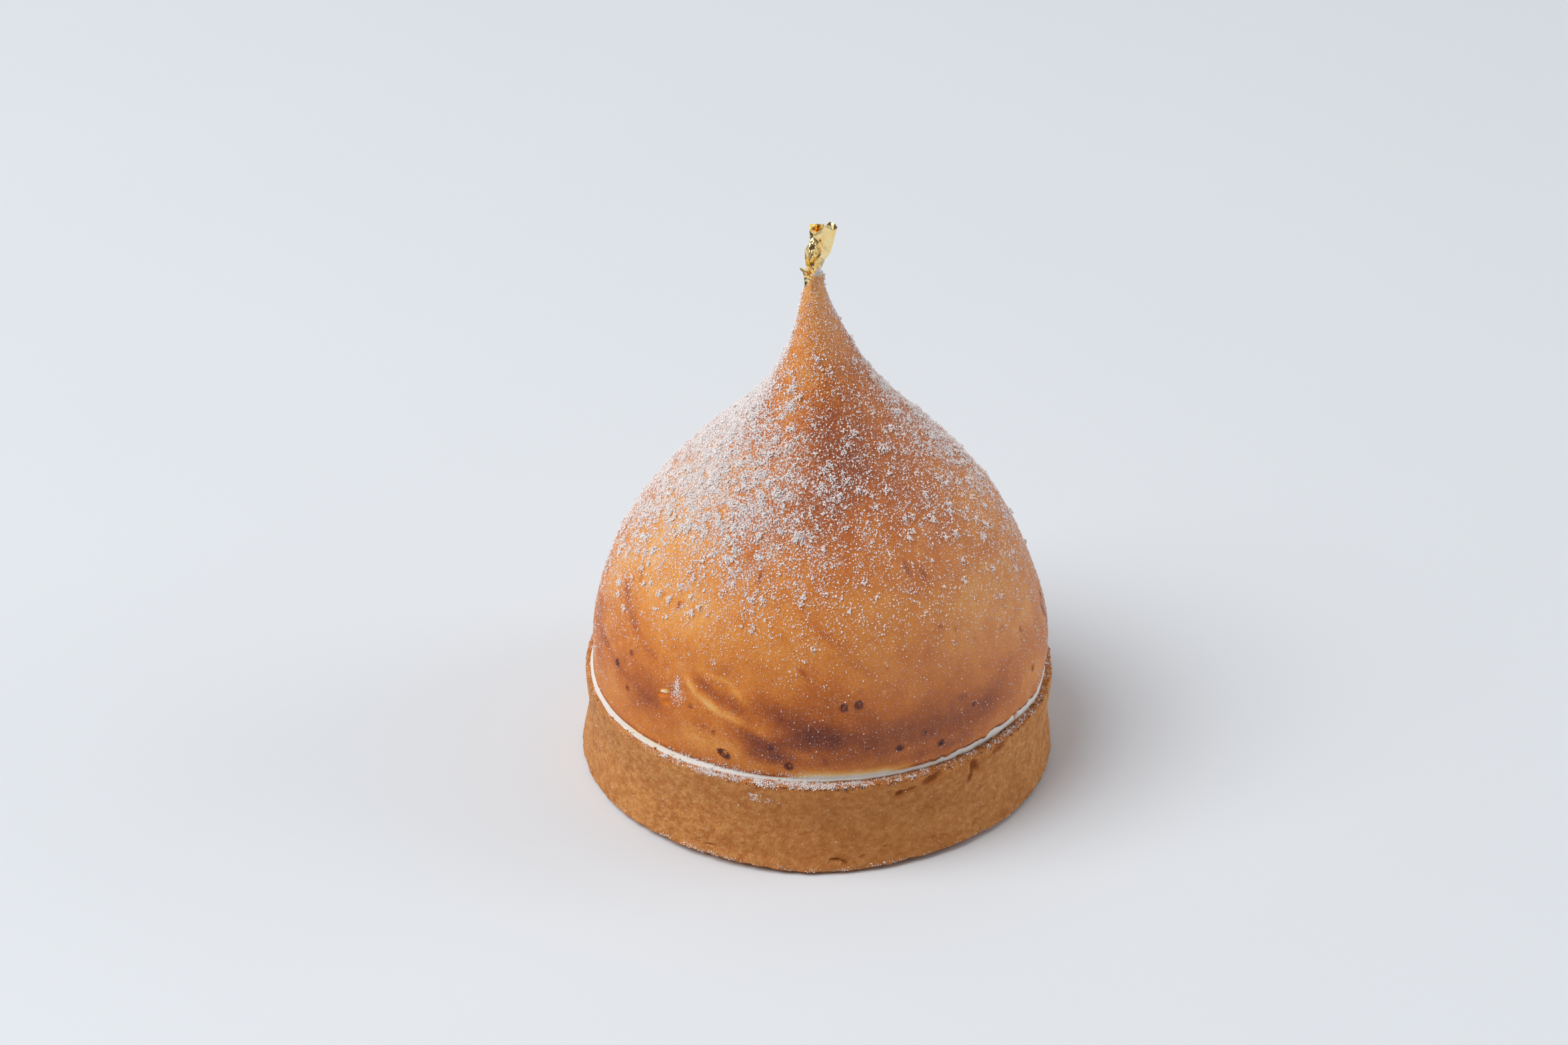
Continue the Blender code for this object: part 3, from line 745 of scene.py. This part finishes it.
# At the front the brown fades to cream at the skin's edge; elsewhere it ends in a dark line
faded = read(FADED, round_dome)
to_edge = np.clip((height - edge_z) / 1.9, 0, 1)
brown_and_shade = brown_and_shade * (1 - faded * (1 - to_edge) ** 1.4)
edge_line = swell(abs(height - edge_z - 0.1) / 0.6) * (1 - faded)
brown_and_shade += (0.06 + 0.13 * jagged) * edge_line * (1 + lumps(plain, 2, 83))
golden = swell(abs(round_dome + 47) / 16) * np.clip(up_band - 0.4, 0, 1)
golden *= 1 + lumps(plain, 1.5, 87)
brown_and_shade = np.where(is_skin, brown_and_shade, (0.03 + 0.10 * golden) * is_band)
torn = np.maximum(torn, is_band * np.clip(1.5 * notch, 0, 1))
tip_fade = np.clip((TIP_HEIGHT + 0.15 - plain[:, 2]) / 0.2, 0, 1)
brown_and_shade = brown_and_shade * np.where(is_skin, tip_fade, 1)
paint(dome, "brown_and_shade", brown_and_shade)
paint(dome, "torn", torn)
paint(dome, "foam", np.where(is_skin, 0, 1))


def sugar_cover(degrees, height):
    """Share of the skin that sugar hides, at angles and heights."""
    sides = np.array([side for side, _ in SUGAR_COVER])
    rows = [np.array(row) / 100 for _, row in SUGAR_COVER]
    shares = np.array([np.interp(height, SUGAR_HEIGHTS, row) for row in rows])
    at = np.clip(np.searchsorted(sides, degrees) - 1, 0, len(sides) - 2)
    mix = (degrees - sides[at]) / (sides[at + 1] - sides[at])
    point = np.arange(len(degrees))
    return shares[at, point] * (1 - mix) + shares[at + 1, point] * mix


# Powder too fine to be grains lies where the sugar is thick, in a patch at the front left, and
# as a thin haze: its share on each side, and how much of it veils the skin at each height
HAZE = (
    (-180, 0.12), (-80, 0.16), (-50, 0.02), (-30, 0.12), (5, 0.18), (18, 0.28), (50, 0.34),
    (75, 0.29), (180, 0.12),
)
VEIL = ((22, 0.12), (34, 0.32), (46, 0.18), (72, 0.16), (82, 0.38))
POWDER_PATCH = (-38, 29, 6.4, 8.8, 14)
cover = sugar_cover(round_dome, height)
haze = read(HAZE, round_dome)
powder = np.minimum(haze, np.interp(height, [46, 60], [0.12, 0.19])) + 0.56 * cover
patch = swell(reach(surface, *POWDER_PATCH)) * (0.9 + 1.4 * lumps(plain, 1.1, 91))
paint(dome, "powder", np.maximum(powder, np.clip(0.95 * patch - 0.28, 0, 0.58)))
veil = np.clip(haze - 0.14, 0, 1) * read(VEIL, height)
paint(dome, "haze", veil + np.interp(height, [74, 86], [0.0, 0.035]))
paint(dome, "grainy", np.clip((height - 50) / 25, 0, 1))

SKIN_STOPS = (
    (0.00, (0.84, 0.815, 0.805, 1)),
    (0.05, (0.82, 0.75, 0.66, 1)),
    (0.14, (0.86, 0.70, 0.40, 1)),
    (0.30, (0.84, 0.46, 0.15, 1)),
    (0.46, (0.74, 0.275, 0.050, 1)),
    (0.60, (0.57, 0.160, 0.024, 1)),
    (0.74, (0.38, 0.094, 0.020, 1)),
    (0.88, (0.22, 0.052, 0.024, 1)),
    (1.00, (0.06, 0.022, 0.018, 1)),
)
TORN_AMBER = (0.80, 0.21, 0.006, 1)

torched, tree, shader = material("torched_meringue")
grain = use(tree, mottle, Size=0.28, Spread=0.2, Seed=5.0)
soft_tone = use(tree, mottle, Size=1.8, Spread=0.2, Seed=6.0)
on_skin = value(tree, "SUBTRACT", 1.0, painted(tree, "foam"))
coarse = value(tree, "MULTIPLY_ADD", painted(tree, "grainy"), 0.22, 0.14)
shift = value(tree, "MULTIPLY", value(tree, "SUBTRACT", grain, 0.54), coarse)
shift = value(tree, "MULTIPLY_ADD", value(tree, "SUBTRACT", soft_tone, 0.5), 0.06, shift)
# The brown value carries painted highlights and shade on the long fold as well as browning
browned_and_shaded = value(tree, "MULTIPLY_ADD", shift, on_skin, painted(tree, "brown_and_shade"))
ramp = add(tree, "ValToRGB", {0: browned_and_shaded})
stops = ramp.color_ramp.elements
for place, colour in SKIN_STOPS[1:-1]:
    stops.new(place).color = colour
stops[0].color = SKIN_STOPS[0][1]
stops[-1].color = SKIN_STOPS[-1][1]
powder = painted(tree, "powder")
film = value(tree, "MULTIPLY", use(tree, sugar_film, Amount=powder), on_skin)
specks = value(tree, "MULTIPLY", use(tree, flecks, Spacing=0.36, Size=0.17, Share=0.55), on_skin)
specks = value(tree, "MULTIPLY", specks, stepped(tree, powder, -0.05, 0.14))
veil = value(tree, "MULTIPLY", painted(tree, "haze"), value(tree, "MULTIPLY", grain, 2.0))
tone = covered(tree, ramp.outputs[0], TORN_AMBER, painted(tree, "torn"))
tone = covered(tree, tone, SUGAR, veil, on_skin)
tone = covered(tree, tone, SUGAR, specks, 0.34)
tone = covered(tree, tone, SUGAR, film, 0.85)
skin = value(tree, "MULTIPLY_ADD", soft_tone, 0.7, grain)
skin = value(tree, "MULTIPLY", skin, value(tree, "MULTIPLY_ADD", painted(tree, "grainy"), 1.5, 1.0))
skin = value(tree, "MULTIPLY_ADD", film, 1.6, skin)
feed(tree, shader, {
    "Base Color": tone,
    "Roughness": ranged(tree, grain, 0.42, 0.62),
    "Normal": bumps(tree, skin, 0.00004, 0.8),
    "Specular IOR Level": 0.25,
    "Subsurface Weight": 0.2,
    "Subsurface Radius": (1.0, 0.5, 0.22),
    "Subsurface Scale": 0.0015,
})
dome.data.materials.append(torched)
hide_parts("meringue")
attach(dome, "root")


# ------------------------------------------------------------------------------- gold leaf
# A scrap of edible gold leaf, crumpled by the tweezers that set it on the nib, where it clings.
# It stands up behind the nib in flat facets between sharp creases, with its tail down in front.

# Corners of its facets: distance to +X, depth towards +Y and height
LEAF_CORNERS = dict(
    # the smooth strip on the right, from its top down to its tip
    strip_top_left=(0.79, -0.5, 98.4), strip_top=(1.75, -0.35, 99.13), strip_corner=(2.39, 0.05, 98.68),
    strip_right=(2.93, -0.4, 98.07), strip_crease=(2.18, -0.68, 97.7),
    strip_edge_high=(2.51, -0.45, 96.8), strip_edge_mid=(2.2, -0.48, 95.23),
    strip_edge_low=(1.78, -0.5, 93.67), strip_narrow=(0.93, -0.55, 92.45),
    strip_tip=(0.3, -0.95, 90.97), strip_low_left=(-0.14, -0.85, 91.47),
    strip_left_low=(0.07, -0.62, 93.04), strip_left=(0.26, -0.55, 97.12),
    # a fold curled over its left edge
    fold_high=(0.38, -0.62, 95.85), fold_belly=(0.71, -0.75, 94.33),
    fold_back_high=(-0.05, -0.2, 95.48), fold_back_low=(-0.14, -0.5, 93.25),
    # the hollow scrap at the top left
    brow_left=(-1.45, 0.1, 98.48), brow_middle=(-0.38, 0.5, 98.29), brow_right=(0.68, 0, 98.54),
    brow_hollow=(-0.38, 0.7, 97.25), brow_side=(-1.55, -0.1, 97.72), ridge_right=(0.69, -0.5, 98.05),
    ridge_left=(-0.48, 0, 97.03),
    # the dark crumple under it
    left_shoulder=(-1.55, 0.4, 97.04), crumple_middle=(-0.91, 0, 96.22), left_neck=(-1.55, -0.2, 95.71),
    dark_left=(-1.65, -0.9, 94.7), dark_middle=(-0.69, -0.95, 94.75), dark_low=(-1.1, -1.95, 93.29),
    dark_base=(-1.64, -1.9, 92.71), dark_tip=(-0.35, -1.8, 91.6), bright_under=(-0.14, -1.6, 93.03),
    # its left edge and the curl against the nib
    scrap_tip=(-2.4, -0.2, 93.78), scrap_top=(-1.76, -0.1, 95), edge_low=(-2.28, -1.1, 92.91),
    edge_end=(-2.06, -2, 91.32), curl_high=(-1.74, -1.9, 92.46), curl_right=(-0.89, -2, 92.87),
    curl_low=(-0.6, -2.65, 91.1), curl_end=(-1.52, -1.7, 90.45),
    # the tail in front of the meringue's tip
    tail_point=(-3.24, -1.3, 91.43), tail_middle=(-2.17, -1.9, 91.02), tail_right=(-1.3, -2.3, 89.91),
    tail_left=(-2.49, -1.9, 90.42), tail_low=(-1.73, -2.3, 89.07), tail_low_left=(-2.37, -2.2, 89.38),
    tail_end=(-2.26, -2.5, 88.45),
)

# Its facets, in fans: the corner that they share, then the corners round it
LEAF_FANS = """
    strip_left crumple_middle ridge_left ridge_right strip_top_left strip_crease strip_edge_mid
        fold_high fold_back_high crumple_middle
    dark_left dark_base dark_low dark_middle left_neck scrap_top scrap_tip edge_low dark_base
    bright_under curl_right dark_low fold_back_low strip_left_low strip_low_left dark_tip curl_right
    brow_hollow brow_left brow_middle brow_right ridge_right ridge_left brow_side brow_left
    fold_belly fold_back_high fold_high strip_edge_low strip_narrow strip_left_low fold_back_low
        fold_back_high
    curl_high curl_end curl_low curl_right dark_base edge_end curl_end
    strip_crease strip_edge_mid strip_edge_high strip_right strip_corner strip_top strip_top_left
    tail_middle curl_end edge_end tail_point tail_left tail_right curl_end
    crumple_middle fold_back_high dark_middle left_neck left_shoulder ridge_left
    tail_low tail_end tail_low_left tail_left tail_right
    dark_middle dark_low fold_back_low fold_back_high
    strip_left_low strip_low_left strip_tip strip_narrow
    brow_right ridge_right strip_top_left
    brow_side left_shoulder ridge_left
    curl_low curl_right dark_tip
    curl_right dark_base dark_low
    dark_base edge_end edge_low
    fold_high strip_edge_low strip_edge_mid
"""
LEAF_CUTS = 5
LEAF_CRUMPLE = (0.015, 0.12)  # on the smooth strip and on the crumpled parts
LEAF_NOISE = (2.5, 29.5, 67.5)  # which part of the noise moves it along each axis
LEAF_THICKNESS = 0.03

# Painted reflection: hollows where the gold mirrors itself are painted deep orange
LEAF_REFLECTING_HOLLOWS = "brow_hollow edge_low dark_base curl_high curl_right curl_low dark_tip curl_end"
REFLECTION_REACH = 1.1

bm = bmesh.new()
corners = {name: bm.verts.new(place) for name, place in LEAF_CORNERS.items()}
for fan in LEAF_FANS.replace("\n        ", " ").strip().split("\n"):
    shared, *others = [corners[name] for name in fan.split()]
    for one, next_one in zip(others, others[1:]):
        bm.faces.new((shared, one, next_one))
bmesh.ops.recalc_face_normals(bm, faces=bm.faces)
bmesh.ops.subdivide_edges(bm, edges=bm.edges, cuts=LEAF_CUTS, use_grid_fill=True)
bmesh.ops.triangulate(bm, faces=bm.faces)
smooth, crumpled = LEAF_CRUMPLE
for v in bm.verts:
    share = min(max(0.1 - v.co.x, v.co.z - 98.2, 0.0), 1.0)
    away = Vector([noise.noise(v.co / 0.5 + Vector((0, 0, start))) for start in LEAF_NOISE])
    v.co += (smooth + (crumpled - smooth) * share) * away
    v.co.y += 0.08 * noise.noise(v.co / 1.7 + Vector((5.0, 0.0, 0.0)))
bmesh.ops.solidify(bm, geom=bm.faces[:], thickness=LEAF_THICKNESS)
bm.faces.sort(key=lambda face: face.calc_center_median().dot(Vector((1.0, 7.3, 51.7))))
# Painted reflection: a share of deep orange near each hollow where the gold mirrors itself
painted_reflection = np.zeros(len(bm.verts))
for name in LEAF_REFLECTING_HOLLOWS.split():
    far = [(v.co - Vector(LEAF_CORNERS[name])).length / REFLECTION_REACH for v in bm.verts]
    painted_reflection = np.maximum(painted_reflection, swell(np.array(far)))
bmesh.ops.scale(bm, vec=(MM, MM, MM), verts=bm.verts)
mesh = bpy.data.meshes.new("gold_leaf_scrap")
bm.to_mesh(mesh)
bm.free()
leaf = bpy.data.objects.new("gold_leaf_scrap", mesh)
bpy.context.scene.collection.objects.link(leaf)
paint(leaf, "painted_reflection", painted_reflection)

GOLD_PALE = (1.0, 0.82, 0.46, 1)
GOLD_DEEP = (0.97, 0.66, 0.24, 1)
# The next colour is painted reflection, where the gold would mirror itself
GOLD_REFLECTION_ORANGE = (0.96, 0.50, 0.07, 1)
gold, tree, shader = material("gold_leaf")
wear = use(tree, mottle, Size=0.9, Spread=0.2, Seed=7.0)
crinkle = use(tree, mottle, Size=0.45, Spread=0.25, Seed=8.0)
tone = blended(tree, wear, GOLD_DEEP, GOLD_PALE)
feed(tree, shader, {
    "Base Color": covered(tree, tone, GOLD_REFLECTION_ORANGE, painted(tree, "painted_reflection")),
    "Roughness": ranged(tree, wear, 0.12, 0.30),
    "Normal": bumps(tree, crinkle, 0.00002, 0.6),
    "Metallic": 1.0,
})
leaf.data.materials.append(gold)
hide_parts("gold_leaf")
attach(leaf, "root")


# ------------------------------------------------------------------------------ icing sugar
# Icing sugar, shaken from above through a sieve: lumps that held together, single grains and
# fine powder. It lies thick on the upper dome and caught on the rim and the foot of the case.

CLUMPS = 2900
CLUMP_GRAINS = 24800
CLUMP_RADIUS = (0.16, 0.66)
CLUMP_GRAIN = (0.20, 0.42)
GRAINS = 49500  # single ones, and as many specks of powder
GRAIN = (0.14, 0.32)
POWDER_SPECK = (0.09, 0.19)

# Only the finer ones stay on the steep lower skin: height and share of their size
SHRINK = ((15.6, 0.7), (16.2, 0.85), (17.3, 0.85), (18, 0.7), (30, 0.72), (46, 1), (74, 1), (86, 0.8))

# How much of it the rim, the foot of the case and the skin's edge caught on each side
RIM_SUGAR = (
    (-180, 0.15), (-60, 0.15), (-42, 0.4), (-36, 1.4), (-22, 2.9), (-12, 2.5), (-6, 2.1), (6, 2),
    (14, 1.5), (22, 0.9), (30, 0.5), (45, 0.9), (60, 0.9), (75, 0.3), (180, 0.15),
)
FOOT_SUGAR = (
    (-180, 0.3), (-60, 0.2), (-42, 0.4), (-36, 1.8), (-28, 2.4), (-20, 1.6), (-16, 0.5), (-8, 0.6),
    (-4, 1.4), (6, 1.8), (14, 1.6), (20, 0.7), (32, 0.4), (50, 0.3), (75, 0.5), (180, 0.3),
)
EDGE_SUGAR = ((-42, 0), (-30, 1), (-8, 1), (4, 0))
WALL_SMEAR = (-12, 13.6, 9, 2.6, 10)

# Places on the dome with more of it: angle, height, length, width and share
SUGAR_DRIFTS = (
    (0, 50, 14, 4, 0.15),
    (-10, 54.5, 8, 4, 0.2),
    (-38.2, 28.6, 5.2, 6.8, 0.7),
)


def surface_of(piece):
    """Points, triangles and normals of a piece, in mm."""
    mesh = piece.data
    points = np.empty(len(mesh.vertices) * 3, np.float32)
    mesh.vertices.foreach_get("co", points)
    normals = np.empty(len(mesh.vertices) * 3, np.float32)
    mesh.vertex_normals.foreach_get("vector", normals)
    faces = np.empty(len(mesh.polygons) * 3, np.int32)
    mesh.polygons.foreach_get("vertices", faces)
    return points.reshape(-1, 3) / MM, faces.reshape(-1, 3), normals.reshape(-1, 3)


dome_pts, dome_faces, dome_normals = surface_of(dome)
case_pts, case_faces, case_normals = surface_of(case)
points = np.concatenate([dome_pts, case_pts])
faces = np.concatenate([dome_faces, case_faces + len(dome_pts)])
normals = np.concatenate([dome_normals, case_normals])
corners = points[faces]
sides = corners[:, 1:] - corners[:, :1]
face_area = 0.5 * np.linalg.norm(np.cross(sides[:, 0], sides[:, 1]), axis=1)

# Thickness of the sugar at each point of the dome, gathered in small drifts
for *place, more in SUGAR_DRIFTS:
    cover = cover + more * swell(reach(dome_surface, *place))
drift = np.clip(0.9 + 1.3 * lumps(dome_pts, 1.3, 3.3) + 0.7 * lumps(dome_pts, 3.6, 9.1), 0.04, 3)
dome_sugar = -np.log(1 - np.clip(cover, 0, 0.85)) * drift * is_skin

# On the case it caught on the rim, on the foot and here and there on the wall
_, radius, height = case_surface
on_rim = swell(abs(case_pts[:, 2] - CASE_HEIGHT) / 0.6) * (radius > 38.3)
on_foot = swell(abs(height - 0.85 - gap) / 0.5)
case_sugar = 0.7 * on_rim * read(RIM_SUGAR, round_case) + 0.25 * on_foot * read(FOOT_SUGAR, round_case)
case_sugar *= np.clip(0.9 + 2.0 * lumps(case_pts, 1.5, 8.8), 0.0, 3)
wall_sugar = 0.004 * (height > 1.0) * (radius > 38.3)
wall_sugar += 0.05 * swell(reach(case_surface, *WALL_SMEAR))

# Some caught along the skin's edge at the front left and on the foam
along_edge = np.clip(0.5 + 1.8 * lumps(dome_pts, 1.2, 4.4), 0, 2)
along_edge = swell(abs(dome_surface[2] - FOAM_TOP) / 0.9) * along_edge
dome_sugar += 0.8 * (read(EDGE_SUGAR, round_dome) * along_edge)


def strewn(count, weight, draw):
    """Random places on the tartlet, more of them where the weight is high."""
    share = face_area * weight[faces].mean(axis=1)
    chosen = draw.choice(len(faces), count, p=share / share.sum())
    a, b = draw.random(count), draw.random(count)
    flip = a + b > 1
    a[flip], b[flip] = 1 - a[flip], 1 - b[flip]
    mix = np.stack([1 - a - b, a, b], axis=1)[:, :, None]
    return (corners[chosen] * mix).sum(axis=1), (normals[faces[chosen]] * mix).sum(axis=1)


def crumbs(name, places, facing, sizes, form, draw):
    """One piece of many small irregular crumbs, each turned at random and resting on its place."""
    shape, shape_faces = form
    count = len(places)
    spin = draw.normal(size=(count, 3, 3))
    spin, _ = np.linalg.qr(spin)
    bodies = np.array(shape)[None] * draw.uniform(0.65, 1.2, (count, len(shape), 1))
    bodies = bodies @ spin * (sizes / 2)[:, None, None]
    points = (bodies + (places + facing * (sizes * 0.22)[:, None])[:, None]).reshape(-1, 3)
    start = np.arange(count)[:, None, None] * len(shape)
    return laid_out(name, points, (np.array(shape_faces)[None] + start).reshape(-1, 3))


EIGHT_SIDED = (
    ((1, 0, 0), (-1, 0, 0), (0, 1, 0), (0, -1, 0), (0, 0, 1), (0, 0, -1)),
    ((0, 2, 4), (2, 1, 4), (1, 3, 4), (3, 0, 4), (2, 0, 5), (1, 2, 5), (3, 1, 5), (0, 3, 5)),
)
FOUR_SIDED = (
    ((0.9, 0.9, 0.9), (-0.9, -0.9, 0.9), (-0.9, 0.9, -0.9), (0.9, -0.9, -0.9)),
    ((0, 2, 1), (0, 1, 3), (0, 3, 2), (1, 2, 3)),
)

SUGAR_SHADES = ((0.92, 0.83, 0.805, 1), (0.97, 0.91, 0.885, 1))

icing, tree, shader = material("icing_sugar")
tint = use(tree, mottle, Size=1.2, Spread=0.2, Seed=10.0)
feed(tree, shader, {
    "Base Color": blended(tree, tint, *SUGAR_SHADES),
    "Roughness": 0.85,
    "Specular IOR Level": 0.25,
    "Subsurface Weight": 0.4,
    "Subsurface Radius": (1.0, 0.9, 0.85),
    "Subsurface Scale": 0.0002,
})


def sugared(piece):
    """Finish a piece of icing sugar and fix it to the tartlet."""
    piece.data.materials.append(icing)
    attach(piece, "root")


draw = np.random.default_rng(17)
clump_share = np.interp(dome_pts[:, 2], [33, 34, 72, 84], [0, 1, 1, 0.3])
clumped = np.clip(dome_sugar - 0.08, 0, None) * clump_share
middles, facing = strewn(CLUMPS, np.concatenate([clumped, 0.06 * case_sugar]), draw)
small, large = CLUMP_RADIUS
widths = small + (large - small) * draw.random(CLUMPS) ** 2.5
owner = draw.choice(CLUMPS, CLUMP_GRAINS, p=widths**2 / (widths**2).sum())
facing = facing[owner]
spread = draw.normal(size=(CLUMP_GRAINS, 3)) * 0.55 * widths[owner, None]
out = (spread * facing).sum(axis=1, keepdims=True)
places = middles[owner] + spread + facing * (0.6 * abs(out) - out)
sizes = draw.uniform(*CLUMP_GRAIN, CLUMP_GRAINS)
sugared(crumbs("sugar_lumps", places, facing, sizes, EIGHT_SIDED, draw))

grain_weight = np.concatenate([dome_sugar, 1.2 * case_sugar + wall_sugar])
speck_weight = np.concatenate([dome_sugar**0.8, case_sugar + 1.5 * wall_sugar])
for name, size, weight in (
    ("sugar_grains", GRAIN, grain_weight),
    ("sugar_powder", POWDER_SPECK, speck_weight),
):
    places, facing = strewn(GRAINS, weight, draw)
    sizes = draw.uniform(*size, GRAINS) * read(SHRINK, places[:, 2])
    sugared(crumbs(name, places, facing, sizes, FOUR_SIDED, draw))


# ----------------------------------------------------------------------------- burnt crumbs
# Crumbs of the rim that the flame charred, and baked flakes of crust, caught between the sugar
# along the edge of the case.

BURNT_CRUMBS = 190
BURNT_CRUMB = (0.12, 0.32)
CHAR_BROWN = (0.16, 0.05, 0.02, 1)
CRUST_FLAKES = 240
CRUST_FLAKE = (0.22, 0.62)

# How many there are on each side
CHARRED = (
    (-30, 0.1), (-18, 0.6), (-8, 0.9), (-2, 0.8), (10, 0.8), (16, 0.5), (26, 0.3), (38, 0.7),
    (50, 1.2), (66, 0.5), (90, 0.1),
)
FLAKY = (
    (-60, 0.2), (-35, 0.5), (-20, 0.4), (0, 0.3), (20, 0.6), (32, 1.4), (60, 1.6), (75, 0.6), (90, 0.2),
)

char = read(CHARRED, round_case, left=0.05, right=0.05)
char *= swell(abs(case_pts[:, 2] - 16.2) / 0.4) * (radius > 39.3)
char *= np.clip(0.4 + 1.6 * lumps(case_pts, 1.4, 5.5), 0.0, 3)
weight = np.concatenate([np.zeros(len(dome_pts)), char])
places, facing = strewn(BURNT_CRUMBS, weight, draw)
sizes = draw.uniform(*BURNT_CRUMB, BURNT_CRUMBS)
charred = crumbs("burnt_crumbs", places, facing, sizes, EIGHT_SIDED, draw)
char_black, tree, shader = material("charred_crust")
shade = use(tree, mottle, Size=0.6, Spread=0.2, Seed=12.0)
feed(tree, shader, {"Base Color": blended(tree, shade, BURNT, CHAR_BROWN), "Roughness": 0.6})
charred.data.materials.append(char_black)
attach(charred, "root")

flaky = read(FLAKY, round_case, left=0.1, right=0.1) * (radius > 38.0)
along_edge = np.clip(0.3 + 1.8 * lumps(case_pts, 1.8, 6.5), 0, 3)
flaky *= swell(abs(case_pts[:, 2] - CASE_HEIGHT) / 0.5) * along_edge
weight = np.concatenate([np.zeros(len(dome_pts)), flaky])
places, facing = strewn(CRUST_FLAKES, weight, draw)
sizes = draw.uniform(*CRUST_FLAKE, CRUST_FLAKES)
flakes = crumbs("crust_flakes", places, facing, sizes, EIGHT_SIDED, draw)
flakes.data.materials.append(baked_crust)
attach(flakes, "root")


# ---------------------------------------------------------------------------------- studio
# A plain pale table under a large soft lamp on the left, in a dim pale room, seen by a long lens
# from the front and about 30 degrees above.

FLOOR_SIZE = 6.0
FLOOR_COLOUR = (0.77, 0.80, 0.83, 1)
LAMP_DISTANCE = 2.0
LAMP_AZIMUTH = 68.0  # from the front towards -X
LAMP_ELEVATION = 54.0
LAMP_SIZE = 1.7
LAMP_POWER = 33.0
REFLECTOR_DISTANCE = 2.0
REFLECTOR_AZIMUTH = -95.0
REFLECTOR_ELEVATION = 22.0
REFLECTOR_SIZE = 1.4
REFLECTOR_POWER = 9.0
ROOM = (0.43, 0.44, 0.46, 1)
ROOM_DIM = (0.08, 0.08, 0.09, 1)
DIM_SIDE = (0.0, -0.94, 0.34)  # the way from the tartlet in which the room is dimmest
CAMERA_PLACE = (0.0, -0.54101, 0.36028)
CAMERA_TURN = (59.62, 0.0, 0.60)
CAMERA_LENS = 85.9

bpy.ops.mesh.primitive_plane_add(size=FLOOR_SIZE)
floor = bpy.context.object
floor.name = "floor"
paper, tree, shader = material("pale_paper")
fibre = use(tree, mottle, Size=60.0, Spread=0.3, Seed=20.0)
darker = tuple(0.99 * c for c in FLOOR_COLOUR[:3]) + (1,)
feed(tree, shader, {"Base Color": blended(tree, fibre, darker, FLOOR_COLOUR), "Roughness": 0.9})
floor.data.materials.append(paper)


def soft_light(name, azimuth, elevation, distance, size, power):
    """A round lamp that points at the tartlet; its azimuth runs from the front towards -X."""
    turn, rise = math.radians(azimuth), math.radians(elevation)
    flat = math.cos(rise)
    towards = Vector((-math.sin(turn) * flat, -math.cos(turn) * flat, math.sin(rise)))
    lamp = bpy.data.lights.new(name, "AREA")
    lamp.shape = "DISK"
    lamp.size = size
    lamp.energy = power
    light = bpy.data.objects.new(name, lamp)
    light.location = towards * distance
    light.rotation_euler = towards.to_track_quat("Z", "Y").to_euler()
    bpy.context.scene.collection.objects.link(light)


soft_light("lamp", LAMP_AZIMUTH, LAMP_ELEVATION, LAMP_DISTANCE, LAMP_SIZE, LAMP_POWER)
soft_light(
    "reflector", REFLECTOR_AZIMUTH, REFLECTOR_ELEVATION, REFLECTOR_DISTANCE,
    REFLECTOR_SIZE, REFLECTOR_POWER,
)

world = bpy.data.worlds.new("room")
world.use_nodes = True
bpy.context.scene.world = world
tree = world.node_tree
direction = add(tree, "TexCoord", {}).outputs["Generated"]
along = add(tree, "VectorMath", {0: direction, 1: DIM_SIDE}, operation="DOT_PRODUCT").outputs[1]
dim = stepped(tree, along, 0.35, 0.85)
feed(tree, tree.nodes["Background"], {"Color": blended(tree, dim, ROOM, ROOM_DIM)})

camera_data = bpy.data.cameras.new("camera")
camera_data.lens = CAMERA_LENS
camera_data.sensor_width = 36.0
camera_data.clip_start = 0.01
camera = bpy.data.objects.new("camera", camera_data)
camera.location = CAMERA_PLACE
camera.rotation_euler = [math.radians(a) for a in CAMERA_TURN]
bpy.context.scene.collection.objects.link(camera)
bpy.context.scene.camera = camera
bpy.context.scene.view_settings.view_transform = "Standard"
